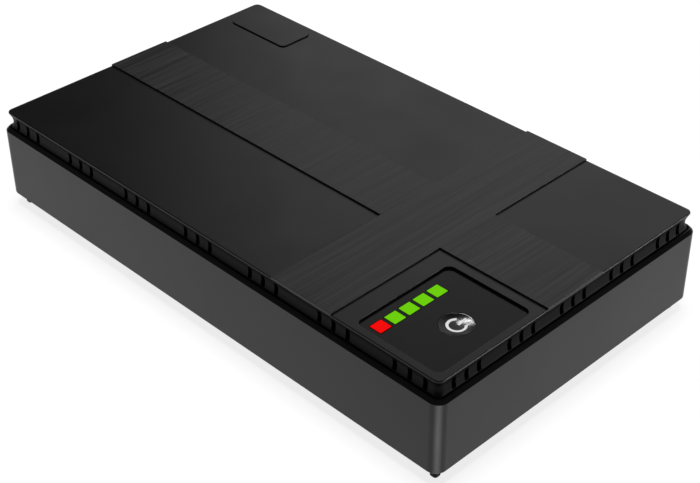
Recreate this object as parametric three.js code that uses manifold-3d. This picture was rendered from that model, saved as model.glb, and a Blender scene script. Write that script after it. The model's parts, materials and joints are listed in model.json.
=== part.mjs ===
// A small DC uninterruptible power supply: a flat black plastic box that stands on four corner pegs.
// The bottom shell holds a pack of four round cells and a main board with the sockets, which open through
// the back wall. The cover is a thin-edged lid over a hollow, slotted neck, with two crossing raised bands,
// and a sunk panel with five indicator lights and a sprung power button.
//
// Units are millimetres. X runs along the length, Y from the front (panel side) to the back (sockets),
// Z up. The origin is on the surface the box stands on, under the middle of the box.
import * as THREE from 'three';
import { mergeVertices } from 'three/addons/utils/BufferGeometryUtils.js';
import Module from 'manifold-3d';

const wasm = await Module();
wasm.setup();

// ---------------------------------------------------------------------------------------------------
// Driving sizes
// ---------------------------------------------------------------------------------------------------
const gap = 0.3;                      // between pieces that rest on, or pass through, each other
const seamGap = 0.2;                  // round a piece let into a recess
const overshoot = 1;                  // how far a cutter passes the face it opens
const weld = 0.5;                     // how far solids joined into one run into each other

// Bottom shell
const bodyLength = 165;
const bodyWidth = 95.4;
const bodyCornerRadius = 3;
const shellHeight = 21.2;             // underside to rim
const shellWall = 2;
const shellFloor = 2;
const undersideRound = 0.3;
const rimChamfer = 0.85;
const rimLand = 0.3;                  // flat top of the rim, inside its chamfer
const rebateDepth = 1.3;              // step inside the rim, under the cover's skirt
const smallestCornerRadius = 0.6;

// Foot pegs
const footHeight = 3.8;
const footSide = 2.4;
const footInset = 2.4;                // shell side to the peg's outer face
const footCornerRadius = 0.7;
const footPlugDepth = 0.9;            // how far the peg's plug goes into the shell

// Case screws
const screwInset = 6;                 // shell side to the screw's axis
const screwRadius = 1.2;
const screwHeadRadius = 2.3;
const screwHeadHeight = 1.5;
const screwHeadRecess = 0.6;
const screwLength = 15;
const screwBossRadius = 4.2;
const screwBossHeight = 3;            // above the shell's floor
const coverPostRadius = 3;
const crossWidth = 0.7;
const crossLength = 2.6;
const crossDepth = 0.7;

// Cover
const lidInset = 1.3;                 // shell side to the lid's edge
const lidRise = 4.82;                 // rim to the lid's face
const lidEdgeHeight = 0.45;
const lidEdgeRound = 0.25;
const lidThickness = 2;
const neckInset = 1.5;                // shell side to the foot of the neck
const neckHollow = 0.5;               // how far the neck's wall curves in behind a straight line
const neckHollowHeight = 2.2;         // rim to the deepest pull of the hollow
const neckSteps = 6;
const neckWall = 1.9;
const neckCornerRadius = 2.1;
const lipDepth = 1.4;                 // inner lip that locates the cover inside the shell
const bandWidth = 20;
const bandRise = 0.45;
const crossBandInset = 33.5;          // lid's right edge to the crossing band

// Vent slots round the neck
const slotWidth = 1.35;
const slotRise = 0.2;                 // rim to the foot of a slot
const slotHeight = 3.15;
const slotsPerGroup = 3;
const slotEndMargin = 7;
const longSide = { slotPitch: 4.63, groupPitch: 24.02 };
const shortSide = { slotPitch: 4.13, groupPitch: 18.48 };

// Control panel
const panelLength = 25.8;             // along X
const panelWidth = 31.4;              // along Y
const panelMargin = 2.05;             // lid's edges to the panel
const panelSink = 0.65;
const panelCornerRadius = 2;
const overlayThickness = 0.8;
const panelBedMargin = 1.5;
const panelBedThickness = 1.5;

// Indicator lights
const lightCount = 5;
const lightLength = 3.55;             // along X
const lightWidth = 3.6;               // along Y
const lightPitch = 4.67;
const lightEdgeX = 4.68;              // panel's left edge to the lights' middle
const lightEdgeY = 3.65;              // panel's front edge to the first light's middle
const lightProud = 0.1;
const ledMargin = 0.9;                // control board's edge to the lights

// Power button
const buttonRadius = 4.3;
const buttonEdgeX = 9.67;             // panel's right edge to the button's axis
const buttonBackset = 0.7;            // panel's middle back to the button's axis
const buttonDish = 0.5;
const buttonRim = 0.35;
const buttonDishSteps = 4;
const buttonTravel = 0.5;
const buttonFlange = 1;
const buttonStemRadius = 1.5;
const buttonSides = 32;
const symbolOuterRadius = 2.53;
const symbolInnerRadius = 1.82;
const symbolOpening = THREE.MathUtils.degToRad(43);   // half of the ring's opening
const symbolBarStart = 0.5;
const symbolBarEnd = 3.2;
const symbolBarWidth = 0.74;
const symbolThickness = 0.35;
const symbolDrop = 0.2;               // button's edge to the symbol's face
const symbolSeam = 0.05;
const symbolSteps = 8;

// Tactile switch under the button
const switchSide = 6;
const plungerRadius = 1.7;
const plungerDepth = 1.2;

// Blank badge plate
const badgeLength = 23.3;
const badgeWidth = 11.1;
const badgeMarginX = 3.9;
const badgeMarginY = 3.2;
const badgeRise = 0.35;
const badgeSeat = 0.6;
const badgeCornerRadius = 1.6;

// Cells and their holder
const cellRadius = 9.2;
const cellLength = 65;
const cellCount = 4;
const cellSpacing = 0.6;
const cellTipRadius = 3;
const cellTipHeight = 0.4;
const cellShoulder = 0.5;             // chamfer at a cell's ends
const holderWall = 1.2;
const holderBase = 0.9;
const holderEnd = 1.5;                // beyond the outer cells
const holderWindowRadius = 6.5;
const holderWallRise = 3;             // cells' axis to the top of the holder's walls
const holderRibWidth = 5;
const holderRibSpacing = 39;
const holderRibDrop = 4;              // cells' axis down to the top of the ribs
const stripThickness = 0.2;
const stripWidth = 8;
const padLength = 52;
const guardBoardThickness = 1;
const guardBoardLength = 40;
const guardBoardHeight = 13;
const guardBoardRise = 4;             // holder's foot to the guard board's lower edge

// Battery leads and their connector
const leadRadius = 0.8;
const leadSpacing = 2.5;
const leadDrop = 2;                   // guard board's upper edge to the leads
const leadRun = 2;                    // straight stretch at each end of a lead
const leadArch = 0.4;
const leadBend = 1.5;
const plug = { fromLeft: 8, fromFront: 16, length: 7.6, width: 6, height: 5, headerHeight: 3 };

// Boards
const boardThickness = 1.6;
const boardRise = 1.5;                // shell floor to the main board
const boardClearance = 0.5;
const standoffRadius = 2.4;
const standoffInset = 6;              // board's left edge, and the holder's front, to a standoff's axis
const standoffFromBoss = 14;          // case screw's axis to the front right standoff
const standoffFromCorner = 12;        // case screw's axis to the back left standoff
const standoffFromSockets = 9;        // sockets' face to the back standoffs
const pegRadius = 1;
const controlPostRadius = 1.8;
const controlPostInset = 2.6;         // control board's edge to a post's axis
const controlBoardBackInset = 0.5;    // panel's back edge to the control board's
const controlBoardThickness = 1.2;
const controlBoardDrop = 6.3;         // panel bed to the control board's face

// Sockets in the back wall
const socketRecess = 0.4;
const dcJack = {
  width: 9, depth: 14, height: 11,
  boreRadius: 3.2, boreDepth: 9, boreHeight: 6.2,
  pinRadius: 1.05, pinRoot: 2, pinSetback: 1,
};
const usbSocket = {
  width: 13.2, depth: 14, height: 5.8, wall: 0.4,
  tongueWidth: 11, tongueThickness: 1.7, tongueDrop: 0.8, tongueSetback: 1, rootDepth: 4,
};
const dataJack = {
  width: 16, depth: 21, height: 13,
  cavityWidth: 11.8, cavityHeight: 6.9, cavityFloor: 3.4, cavityDepth: 13,
  latchWidth: 6.2, latchHeight: 2.1,
};
const contacts = {
  count: 8, pitch: 1.02, width: 0.5, thickness: 0.3, drop: 1.2,
  carrierThickness: 0.8, carrierMargin: 0.6, carrierSetback: 2,
  fingerStart: 2.5, fingerEnd: 8, fingerRoot: 4,
};
const powerSocketPitch = 16;
const dataSocketPitch = 22;
const firstSocketInset = 18.5;        // shell side to the power inlet's middle
const usbOffset = 20;                 // last power outlet to the USB socket
const dataOffset = 24;                // USB socket to the first data socket

// Parts on the main board. Their places are measured from the board's left or right edge, and its front edge.
const inductorWall = 1.6;
const inductorCoilGap = 0.8;
const inductorCoilDepth = 1.5;
const inductorCoilDrop = 0.4;
const inductorCornerRadius = 1.5;
const boostInductor = { side: 12, height: 7, fromRight: 17.4, fromFront: 55.2 };
const buckInductor = { side: 10, height: 6, fromRight: 17.4, fromFront: 10.2 };
const transformer = {
  coreLength: 16, coreWidth: 8, height: 12,
  windingLength: 11, windingWidth: 14, windingRadius: 3, windingMargin: 1.5,
  fromLeft: 14, fromFront: 53.2,
};
const capacitor = {
  radius: 4, height: 12, bottomRound: 0.3, bead: 0.35, beadFoot: 1.4, beadHeight: 0.8, topRound: 0.4,
  fromLeft: 30, fromFront: 63.2, pitch: 10,
};
const heatsink = {
  length: 22, width: 14, height: 10, baseThickness: 2, finCount: 5, finThickness: 1.2,
  fromLeft: 32, fromFront: 41.2,
};
const chip = { side: 10, height: 1.6, cornerRadius: 0.5, fromLeft: 30, fromFront: 19.2 };

// Flat cable from the control board down to its socket on the main board
const cable = { width: 9, thickness: 0.6, fromButton: 4, fromBoardBack: 8, bow: 3, steps: 12 };
const cableSocket = { height: 4, width: 4, margin: 1, fromBoardBack: 1 };

// ---------------------------------------------------------------------------------------------------
// Places that follow from the sizes
// ---------------------------------------------------------------------------------------------------
const shellBase = footHeight;
const shellTop = shellBase + shellHeight;
const floorTop = shellBase + shellFloor;
const ledge = shellTop - rebateDepth;
const lidTop = shellTop + lidRise;
const lidUnderside = lidTop - lidThickness;
const skirtFoot = ledge + gap;
const cavityInset = neckInset + neckWall;
const lidHalfLength = bodyLength / 2 - lidInset;
const lidHalfWidth = bodyWidth / 2 - lidInset;
const crossBandMiddle = lidHalfLength - crossBandInset - bandWidth / 2;

const panelMiddle = {
  x: lidHalfLength - panelMargin - panelLength / 2,
  y: -(lidHalfWidth - panelMargin - panelWidth / 2),
};
const overlayTop = lidTop - panelSink;
const overlayFoot = overlayTop - overlayThickness;
const panelSeat = overlayFoot - gap;
const panelBedFoot = panelSeat - panelBedThickness;
const lightX = panelMiddle.x - panelLength / 2 + lightEdgeX;
const firstLightY = panelMiddle.y - panelWidth / 2 + lightEdgeY;
const button = { x: panelMiddle.x + panelLength / 2 - buttonEdgeX, y: panelMiddle.y + buttonBackset };

const screwX = bodyLength / 2 - screwInset;
const screwY = bodyWidth / 2 - screwInset;
const corners = [[-1, -1], [1, -1], [1, 1], [-1, 1]];

const boardFoot = floorTop + boardRise;
const boardTop = boardFoot + boardThickness;
const socketFace = bodyWidth / 2 - socketRecess;

const cellPitch = 2 * cellRadius + cellSpacing;
const endRoom = gap + stripThickness + gap;
const holderDepth = cellLength + 2 * (cellTipHeight + endRoom + holderWall);
const holderWidth = cellPitch * (cellCount - 1) + 2 * (cellRadius + holderEnd);
const holderLeft = -screwX + screwBossRadius + 2 * gap;
const holderRight = holderLeft + holderWidth;
const holderFront = -(bodyWidth / 2 - cavityInset - gap);
const holderBack = holderFront + holderDepth;
const packMiddle = { x: (holderLeft + holderRight) / 2, y: (holderFront + holderBack) / 2 };
const holderFoot = floorTop + gap;
const cellAxis = holderFoot + holderBase + gap + cellRadius;
const guardBoardX = holderRight + gap;
const mainBoard = {
  left: guardBoardX + guardBoardThickness + 2 * gap,
  right: bodyLength / 2 - shellWall - boardClearance,
  front: -(bodyWidth / 2 - shellWall - boardClearance),
  back: bodyWidth / 2 - shellWall - boardClearance,
};

const controlBoardTop = panelBedFoot - controlBoardDrop;
const controlBoardFoot = controlBoardTop - controlBoardThickness;

// ---------------------------------------------------------------------------------------------------
// Materials, one for each kind of surface
// ---------------------------------------------------------------------------------------------------
function surface(color, roughness, metalness = 0) {
  return new THREE.MeshStandardMaterial({ color, roughness, metalness });
}

const materials = {
  shell: surface(0x1c1c1d, 0.45),
  panel: surface(0x141415, 0.3),
  button: surface(0x121213, 0.25),
  symbol: surface(0xf2f2f2, 0.4),
  redLight: surface(0xf00500, 0.3),
  greenLight: surface(0x66dd08, 0.3),
  rubber: surface(0x181818, 0.8),
  screw: surface(0x8f9194, 0.35, 1),
  socketPlastic: surface(0x0e0e0e, 0.5),
  socketMetal: surface(0xb9bbbe, 0.3, 1),
  contact: surface(0xc9a24a, 0.3, 1),
  whitePlastic: surface(0xe8e8e4, 0.5),
  cellWrap: surface(0x2a6fb0, 0.4),
  nickel: surface(0xb5b3ad, 0.35, 1),
  holder: surface(0x2b2b2b, 0.6),
  board: surface(0x0f5a2e, 0.45),
  ferrite: surface(0x3a3a3c, 0.7),
  aluminium: surface(0xa9acb0, 0.35, 1),
  chip: surface(0x202022, 0.5),
  redWire: surface(0xb51212, 0.45),
  blackWire: surface(0x151515, 0.45),
  ribbon: surface(0xc9c9c6, 0.5),
  foam: surface(0x333335, 0.95),
};

// ---------------------------------------------------------------------------------------------------
// Solids
// ---------------------------------------------------------------------------------------------------
function toSolid(geometry) {
  geometry.deleteAttribute('normal');
  geometry.deleteAttribute('uv');
  const merged = mergeVertices(geometry);
  return new wasm.Manifold(new wasm.Mesh({
    numProp: 3,
    vertProperties: Float32Array.from(merged.attributes.position.array),
    triVerts: Uint32Array.from(merged.index.array),
  }));
}

function toGeometry(solid) {
  const mesh = solid.getMesh();
  const geometry = new THREE.BufferGeometry();
  geometry.setAttribute('position', new THREE.BufferAttribute(mesh.vertProperties, 3));
  geometry.setIndex(new THREE.BufferAttribute(mesh.triVerts, 1));
  geometry.computeVertexNormals();
  return geometry;
}

// A box between two corners.
function block(low, high) {
  const size = high.map((value, axis) => value - low[axis]);
  const middle = high.map((value, axis) => (value + low[axis]) / 2);
  return toSolid(new THREE.BoxGeometry(...size).translate(...middle));
}

// An upright cylinder between two heights.
function post(x, y, radius, foot, top, segments = 24) {
  const geometry = new THREE.CylinderGeometry(radius, radius, top - foot, segments);
  return toSolid(geometry.rotateX(Math.PI / 2).translate(x, y, (foot + top) / 2));
}

// A cylinder along Y between two places.
function bar(x, z, radius, front, back, segments = 24) {
  const geometry = new THREE.CylinderGeometry(radius, radius, back - front, segments);
  return toSolid(geometry.translate(x, (front + back) / 2, z));
}

function roundedRectangle(length, width, radius) {
  const shape = new THREE.Shape();
  const x = length / 2 - radius;
  const y = width / 2 - radius;
  shape.absarc(x, y, radius, 0, Math.PI / 2);
  shape.absarc(-x, y, radius, Math.PI / 2, Math.PI);
  shape.absarc(-x, -y, radius, Math.PI, 1.5 * Math.PI);
  shape.absarc(x, -y, radius, 1.5 * Math.PI, 2 * Math.PI);
  return shape;
}

// A flat outline given depth between two heights.
function plate(shape, foot, top, curveSegments = 3) {
  const options = { depth: top - foot, bevelEnabled: false, curveSegments };
  return toSolid(new THREE.ExtrudeGeometry(shape, options).translate(0, 0, foot));
}

function roundedPlate(length, width, radius, foot, top) {
  return plate(roundedRectangle(length, width, radius), foot, top);
}

// A closed body through level rings. Each ring is the body's plan, drawn in from the shell's sides.
function loft(rings, segments = 6) {
  const positions = [];
  for (const ring of rings) {
    const shape = roundedRectangle(bodyLength - 2 * ring.inset, bodyWidth - 2 * ring.inset, ring.radius);
    for (const arc of shape.curves.filter((curve) => curve.isEllipseCurve)) {
      for (const point of arc.getPoints(segments)) {
        positions.push(point.x, point.y, ring.z);
      }
    }
  }
  const count = corners.length * (segments + 1);
  const index = [];
  for (let level = 0; level < rings.length - 1; level++) {
    for (let i = 0; i < count; i++) {
      const a = level * count + i;
      const b = level * count + (i + 1) % count;
      index.push(a, b, b + count, a, b + count, a + count);
    }
  }
  const last = (rings.length - 1) * count;
  for (let i = 1; i < count - 1; i++) {
    index.push(0, i + 1, i);
    index.push(last, last + i, last + i + 1);
  }
  const geometry = new THREE.BufferGeometry();
  geometry.setAttribute('position', new THREE.Float32BufferAttribute(positions, 3));
  geometry.setIndex(index);
  return toSolid(geometry);
}

// The plan inside the shell's sides, with the corners kept concentric.
function insetPlate(inset, foot, top) {
  const radius = Math.max(bodyCornerRadius - inset, smallestCornerRadius);
  return roundedPlate(bodyLength - 2 * inset, bodyWidth - 2 * inset, radius, foot, top);
}

function union(solids) {
  return solids.reduce((whole, solid) => whole.add(solid));
}

function addMesh(group, name, shape, material) {
  const geometry = shape.isBufferGeometry ? shape : toGeometry(shape);
  const mesh = new THREE.Mesh(geometry, material);
  mesh.name = name;
  group.add(mesh);
  return mesh;
}

// ---------------------------------------------------------------------------------------------------
// Socket places along the back wall, from the power inlet towards -X
// ---------------------------------------------------------------------------------------------------
const inletX = bodyLength / 2 - firstSocketInset;
const usbX = inletX - 2 * powerSocketPitch - usbOffset;
const sockets = {
  dc: [inletX, inletX - powerSocketPitch, inletX - 2 * powerSocketPitch],
  usb: usbX,
  data: [usbX - dataOffset, usbX - dataOffset - dataSocketPitch],
};

// ---------------------------------------------------------------------------------------------------
// Bottom shell
// ---------------------------------------------------------------------------------------------------
function socketWindow(x, width, height) {
  const side = width / 2 + gap;
  return block(
    [x - side, bodyWidth / 2 - shellWall - overshoot, boardTop],
    [x + side, bodyWidth / 2 + overshoot, boardTop + gap + height + gap],
  );
}

const standoffs = [
  [mainBoard.left + standoffInset, holderFront + standoffInset],
  [screwX - standoffFromBoss, holderFront + standoffInset],
  [(sockets.dc[2] + sockets.usb) / 2, socketFace - standoffFromSockets],
  [-screwX + standoffFromCorner, socketFace - standoffFromSockets],
];

function footCentre([signX, signY]) {
  return {
    x: signX * (bodyLength / 2 - footInset - footSide / 2),
    y: signY * (bodyWidth / 2 - footInset - footSide / 2),
  };
}

function makeBottomShell() {
  let shell = loft([
    { z: shellBase, inset: undersideRound, radius: bodyCornerRadius - undersideRound },
    { z: shellBase + undersideRound * 0.3, inset: undersideRound * 0.3, radius: bodyCornerRadius },
    { z: shellBase + undersideRound, inset: 0, radius: bodyCornerRadius },
    { z: shellTop - rimChamfer, inset: 0, radius: bodyCornerRadius },
    { z: shellTop, inset: rimChamfer, radius: bodyCornerRadius - rimChamfer },
  ]);
  shell = shell.subtract(insetPlate(shellWall, floorTop, shellTop + overshoot));
  shell = shell.subtract(insetPlate(rimChamfer + rimLand, ledge, shellTop + overshoot));
  for (const [signX, signY] of corners) {
    const x = signX * screwX;
    const y = signY * screwY;
    const bossTop = floorTop + screwBossHeight;
    const seat = shellBase + screwHeadRecess + screwHeadHeight + gap;
    shell = shell.add(post(x, y, screwBossRadius, floorTop - weld, bossTop));
    shell = shell.subtract(post(x, y, screwHeadRadius + gap, shellBase - overshoot, seat));
    shell = shell.subtract(post(x, y, screwRadius + gap, shellBase, bossTop + overshoot, 16));
    const foot = footCentre([signX, signY]);
    const socket = roundedPlate(
      footSide, footSide, footCornerRadius, shellBase - overshoot, shellBase + footPlugDepth + gap,
    );
    shell = shell.subtract(socket.translate([foot.x, foot.y, 0]));
  }
  for (const [x, y] of standoffs) {
    shell = shell.add(post(x, y, standoffRadius, floorTop - weld, boardFoot - gap, 16));
    shell = shell.add(post(x, y, pegRadius, floorTop, boardTop + gap, 12));
  }
  const windows = [
    ...sockets.dc.map((x) => socketWindow(x, dcJack.width, dcJack.height)),
    ...sockets.data.map((x) => socketWindow(x, dataJack.width, dataJack.height)),
    socketWindow(sockets.usb, usbSocket.width, usbSocket.height),
  ];
  return shell.subtract(union(windows));
}

// ---------------------------------------------------------------------------------------------------
// Top cover
// ---------------------------------------------------------------------------------------------------

// The neck's outline from its foot up to the lid's edge: a shallow hollow curve.
function neckRings() {
  const foot = new THREE.Vector2(neckInset, shellTop);
  const head = new THREE.Vector2(lidInset, lidTop - lidEdgeHeight);
  const middle = foot.clone().add(head).multiplyScalar(0.5);
  const pull = new THREE.Vector2(middle.x + 2 * neckHollow, shellTop + neckHollowHeight);
  const curve = new THREE.QuadraticBezierCurve(foot, pull, head);
  return curve.getPoints(neckSteps).map((point, step) => {
    const hollow = Math.sin(Math.PI * step / neckSteps);
    const corner = THREE.MathUtils.lerp(bodyCornerRadius - lidInset, neckCornerRadius, hollow);
    return { z: point.y, inset: point.x, radius: corner };
  });
}

function sideSlots(span, side, place) {
  const groupsEachWay = Math.floor((span / 2 - slotEndMargin) / side.groupPitch);
  const slots = [];
  for (let group = -groupsEachWay; group <= groupsEachWay; group++) {
    for (let slot = 0; slot < slotsPerGroup; slot++) {
      const along = group * side.groupPitch + (slot - (slotsPerGroup - 1) / 2) * side.slotPitch;
      slots.push(place(along));
    }
  }
  return slots;
}

function makeSlots() {
  const foot = shellTop + slotRise;
  const top = foot + slotHeight;
  const half = slotWidth / 2;
  const slots = [];
  for (const sign of [-1, 1]) {
    const [x, y] = [bodyLength / 2, bodyWidth / 2].map((half) => [
      sign * (half - lidInset),
      sign * (half - cavityInset - overshoot),
    ]);
    slots.push(...sideSlots(2 * lidHalfLength, longSide, (along) => block(
      [along - half, Math.min(...y), foot],
      [along + half, Math.max(...y), top],
    )));
    slots.push(...sideSlots(2 * lidHalfWidth, shortSide, (along) => block(
      [Math.min(...x), along - half, foot],
      [Math.max(...x), along + half, top],
    )));
  }
  return union(slots);
}

const controlBoard = {
  left: lightX - lightLength / 2 - ledMargin,
  right: screwX - coverPostRadius - boardClearance,
  front: -(bodyWidth / 2 - cavityInset - boardClearance),
  back: panelMiddle.y + panelWidth / 2 - controlBoardBackInset,
};
const controlPosts = [
  [controlBoard.right - controlPostInset, controlBoard.front + controlPostInset],
  [controlBoard.right - controlPostInset, controlBoard.back - controlPostInset],
  [controlBoard.left + controlPostInset, controlBoard.back - controlPostInset],
];

function lightBlock(x, y, length, width, foot, top) {
  return block([x - length / 2, y - width / 2, foot], [x + length / 2, y + width / 2, top]);
}

function lightY(index) {
  return firstLightY + index * lightPitch;
}

function makeBands() {
  const raised = insetPlate(lidInset, lidTop - weld, lidTop + bandRise);
  const foot = lidTop - overshoot;
  const top = lidTop + overshoot;
  const alongX = block([-bodyLength, -bandWidth / 2, foot], [bodyLength, bandWidth / 2, top]);
  const alongY = block(
    [crossBandMiddle - bandWidth / 2, -bodyWidth, foot],
    [crossBandMiddle + bandWidth / 2, bodyWidth, top],
  );
  return raised.intersect(alongX.add(alongY));
}

function makeTopCover() {
  const edgeRadius = bodyCornerRadius - lidInset;
  let cover = loft([
    { z: skirtFoot, inset: neckInset, radius: bodyCornerRadius - neckInset },
    ...neckRings(),
    { z: lidTop - lidEdgeRound, inset: lidInset, radius: edgeRadius },
    { z: lidTop - lidEdgeRound * 0.3, inset: lidInset + lidEdgeRound * 0.3, radius: edgeRadius },
    { z: lidTop, inset: lidInset + lidEdgeRound, radius: edgeRadius - lidEdgeRound },
  ]);
  const lip = insetPlate(shellWall + gap, skirtFoot - lipDepth, skirtFoot + weld);
  cover = cover.add(lip).subtract(insetPlate(cavityInset, shellBase, lidUnderside));

  for (const [signX, signY] of corners) {
    const x = signX * screwX;
    const y = signY * screwY;
    const postFoot = floorTop + screwBossHeight + gap;
    const boreTop = shellBase + screwHeadRecess + screwLength + 2 * gap;
    cover = cover.add(post(x, y, coverPostRadius, postFoot, lidUnderside + weld));
    cover = cover.subtract(post(x, y, screwRadius + gap, postFoot - overshoot, boreTop, 16));
  }
  cover = cover.add(makeBands()).subtract(makeSlots());

  // Bed, seat and openings of the control panel
  const bed = roundedPlate(
    panelLength + 2 * panelBedMargin, panelWidth + 2 * panelBedMargin, panelCornerRadius,
    panelBedFoot, lidUnderside + weld,
  );
  const bedHall = insetPlate(cavityInset - weld, panelBedFoot - overshoot, lidTop);
  cover = cover.add(bed.translate([panelMiddle.x, panelMiddle.y, 0]).intersect(bedHall));
  const seat = roundedPlate(panelLength, panelWidth, panelCornerRadius, panelSeat, lidTop + overshoot);
  cover = cover.subtract(seat.translate([panelMiddle.x, panelMiddle.y, 0]));
  const lightRow = lightBlock(
    lightX, firstLightY + (lightCount - 1) * lightPitch / 2,
    lightLength + 2 * gap, (lightCount - 1) * lightPitch + lightWidth + 2 * gap,
    panelBedFoot - overshoot, lidTop,
  );
  cover = cover.subtract(lightRow);
  cover = cover.subtract(post(button.x, button.y, buttonRadius + gap, panelBedFoot - overshoot, lidTop));
  for (const [x, y] of controlPosts) {
    cover = cover.add(post(x, y, controlPostRadius, controlBoardTop + gap, panelBedFoot + weld, 16));
    cover = cover.add(post(x, y, pegRadius, controlBoardFoot - gap, panelBedFoot, 12));
  }

  // Seat of the badge plate
  const badgeSeatOutline = roundedPlate(
    badgeLength + 2 * seamGap, badgeWidth + 2 * seamGap, badgeCornerRadius + seamGap,
    lidTop - badgeSeat, lidTop + overshoot,
  );
  return cover.subtract(badgeSeatOutline.translate([badge.x, badge.y, 0]));
}

// ---------------------------------------------------------------------------------------------------
// Trim, feet and screws
// ---------------------------------------------------------------------------------------------------
const badge = {
  x: -(lidHalfLength - badgeMarginX - badgeLength / 2),
  y: lidHalfWidth - badgeMarginY - badgeWidth / 2,
};

function makeBadgePlate() {
  return roundedPlate(
    badgeLength, badgeWidth, badgeCornerRadius, lidTop - badgeSeat + gap, lidTop + badgeRise,
  ).translate([badge.x, badge.y, 0]);
}

function makeFoot() {
  const peg = roundedPlate(footSide, footSide, footCornerRadius, 0, shellBase - gap);
  const plug = roundedPlate(
    footSide - 2 * gap, footSide - 2 * gap, footCornerRadius - gap,
    shellBase - gap - weld, shellBase + footPlugDepth,
  );
  return peg.add(plug);
}

function makeScrew() {
  const headFoot = screwHeadRecess;
  const headTop = headFoot + screwHeadHeight;
  const head = post(0, 0, screwHeadRadius, headFoot, headTop);
  const shank = post(0, 0, screwRadius, headTop - weld, headFoot + screwLength, 16);
  const slot = (x, y) => block([-x / 2, -y / 2, headFoot - overshoot], [x / 2, y / 2, headFoot + crossDepth]);
  return head.add(shank).subtract(slot(crossLength, crossWidth)).subtract(slot(crossWidth, crossLength));
}

// ---------------------------------------------------------------------------------------------------
// Control panel
// ---------------------------------------------------------------------------------------------------
function makeOverlay() {
  const foot = overlayFoot - overshoot;
  const top = overlayTop + overshoot;
  let overlay = roundedPlate(
    panelLength - 2 * seamGap, panelWidth - 2 * seamGap, panelCornerRadius - seamGap, overlayFoot, overlayTop,
  ).translate([panelMiddle.x, panelMiddle.y, 0]);
  for (let i = 0; i < lightCount; i++) {
    overlay = overlay.subtract(lightBlock(
      lightX, lightY(i), lightLength + 2 * seamGap, lightWidth + 2 * seamGap, foot, top,
    ));
  }
  return overlay.subtract(post(button.x, button.y, buttonRadius + seamGap, foot, top, buttonSides));
}

function makeLight(index) {
  const top = overlayTop + lightProud;
  return lightBlock(lightX, lightY(index), lightLength, lightWidth, controlBoardTop + gap, top);
}

// Heights below are measured down from the panel's face, which is level with the button's edge.
const flangeTop = panelBedFoot - gap - overlayTop;
const flangeFoot = flangeTop - buttonFlange;
const stemFoot = flangeFoot - gap;

function symbolShapes(seam) {
  const outer = symbolOuterRadius + seam;
  const inner = symbolInnerRadius - seam;
  const start = Math.PI / 2 + symbolOpening - seam / symbolOuterRadius;
  const end = Math.PI / 2 - symbolOpening + seam / symbolOuterRadius + 2 * Math.PI;
  const ring = new THREE.Shape();
  ring.absarc(0, 0, outer, start, end);
  ring.absarc(0, 0, inner, end, start, true);
  const strokeHalf = symbolBarWidth / 2 + seam;
  const stroke = new THREE.Shape();
  stroke.moveTo(-strokeHalf, symbolBarStart - seam);
  stroke.lineTo(strokeHalf, symbolBarStart - seam);
  stroke.lineTo(strokeHalf, symbolBarEnd + seam);
  stroke.lineTo(-strokeHalf, symbolBarEnd + seam);
  stroke.closePath();
  return [ring, stroke];
}

function makeButton() {
  const dishRadius = buttonRadius - buttonRim;
  const profile = [];
  for (let i = 0; i <= buttonDishSteps; i++) {
    const share = i / buttonDishSteps;
    profile.push(new THREE.Vector2(dishRadius * share, -buttonDish * (1 - share * share)));
  }
  profile.push(
    new THREE.Vector2(buttonRadius, -buttonRim / 2),
    new THREE.Vector2(buttonRadius, flangeTop),
    new THREE.Vector2(buttonRadius + buttonFlange, flangeTop),
    new THREE.Vector2(buttonRadius + buttonFlange, flangeFoot),
    new THREE.Vector2(buttonStemRadius, flangeFoot),
    new THREE.Vector2(buttonStemRadius, stemFoot),
    new THREE.Vector2(0, stemFoot),
  );
  const cap = toSolid(new THREE.LatheGeometry(profile.reverse(), buttonSides).rotateX(Math.PI / 2));
  const pocketFoot = -symbolDrop - symbolThickness - symbolSeam;
  const pockets = symbolShapes(symbolSeam).map((shape) => plate(shape, pocketFoot, overshoot, symbolSteps));
  return cap.subtract(union(pockets));
}

function makeSymbolPart(shape) {
  return plate(shape, -symbolDrop - symbolThickness, -symbolDrop, symbolSteps);
}

// ---------------------------------------------------------------------------------------------------
// Push switch under the button, and the board that carries it and the lights
// ---------------------------------------------------------------------------------------------------
const plungerTop = overlayTop + stemFoot - gap;
const switchTop = plungerTop - buttonTravel - gap;

function makeSwitchBody() {
  const half = switchSide / 2;
  const body = block(
    [button.x - half, button.y - half, controlBoardTop + gap],
    [button.x + half, button.y + half, switchTop],
  );
  const wellFoot = switchTop - plungerDepth - buttonTravel - gap;
  return body.subtract(post(button.x, button.y, plungerRadius + gap, wellFoot, switchTop + overshoot));
}

function makePlunger() {
  return post(button.x, button.y, plungerRadius, switchTop - plungerDepth, plungerTop);
}

function makeControlBoard() {
  let board = block(
    [controlBoard.left, controlBoard.front, controlBoardFoot],
    [controlBoard.right, controlBoard.back, controlBoardTop],
  );
  for (const [x, y] of controlPosts) {
    const hole = post(x, y, pegRadius + gap, controlBoardFoot - overshoot, controlBoardTop + overshoot, 12);
    board = board.subtract(hole);
  }
  return board;
}

// ---------------------------------------------------------------------------------------------------
// Sockets. Each is drawn with its mouth at y = 0 facing +Y, standing on z = 0, centred on x = 0.
// ---------------------------------------------------------------------------------------------------
function makeDcJack() {
  const { width, depth, height, boreRadius, boreDepth, boreHeight, pinRadius, pinRoot } = dcJack;
  const body = block([-width / 2, -depth, 0], [width / 2, 0, height]);
  const bore = bar(0, boreHeight, boreRadius, -boreDepth, overshoot);
  const pinHole = bar(0, boreHeight, pinRadius + gap, -boreDepth - pinRoot - gap, 0, 16);
  return body.subtract(bore).subtract(pinHole);
}

function makeDcPin() {
  const { boreDepth, boreHeight, pinRadius, pinRoot, pinSetback } = dcJack;
  return bar(0, boreHeight, pinRadius, -boreDepth - pinRoot, -pinSetback, 16);
}

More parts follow.
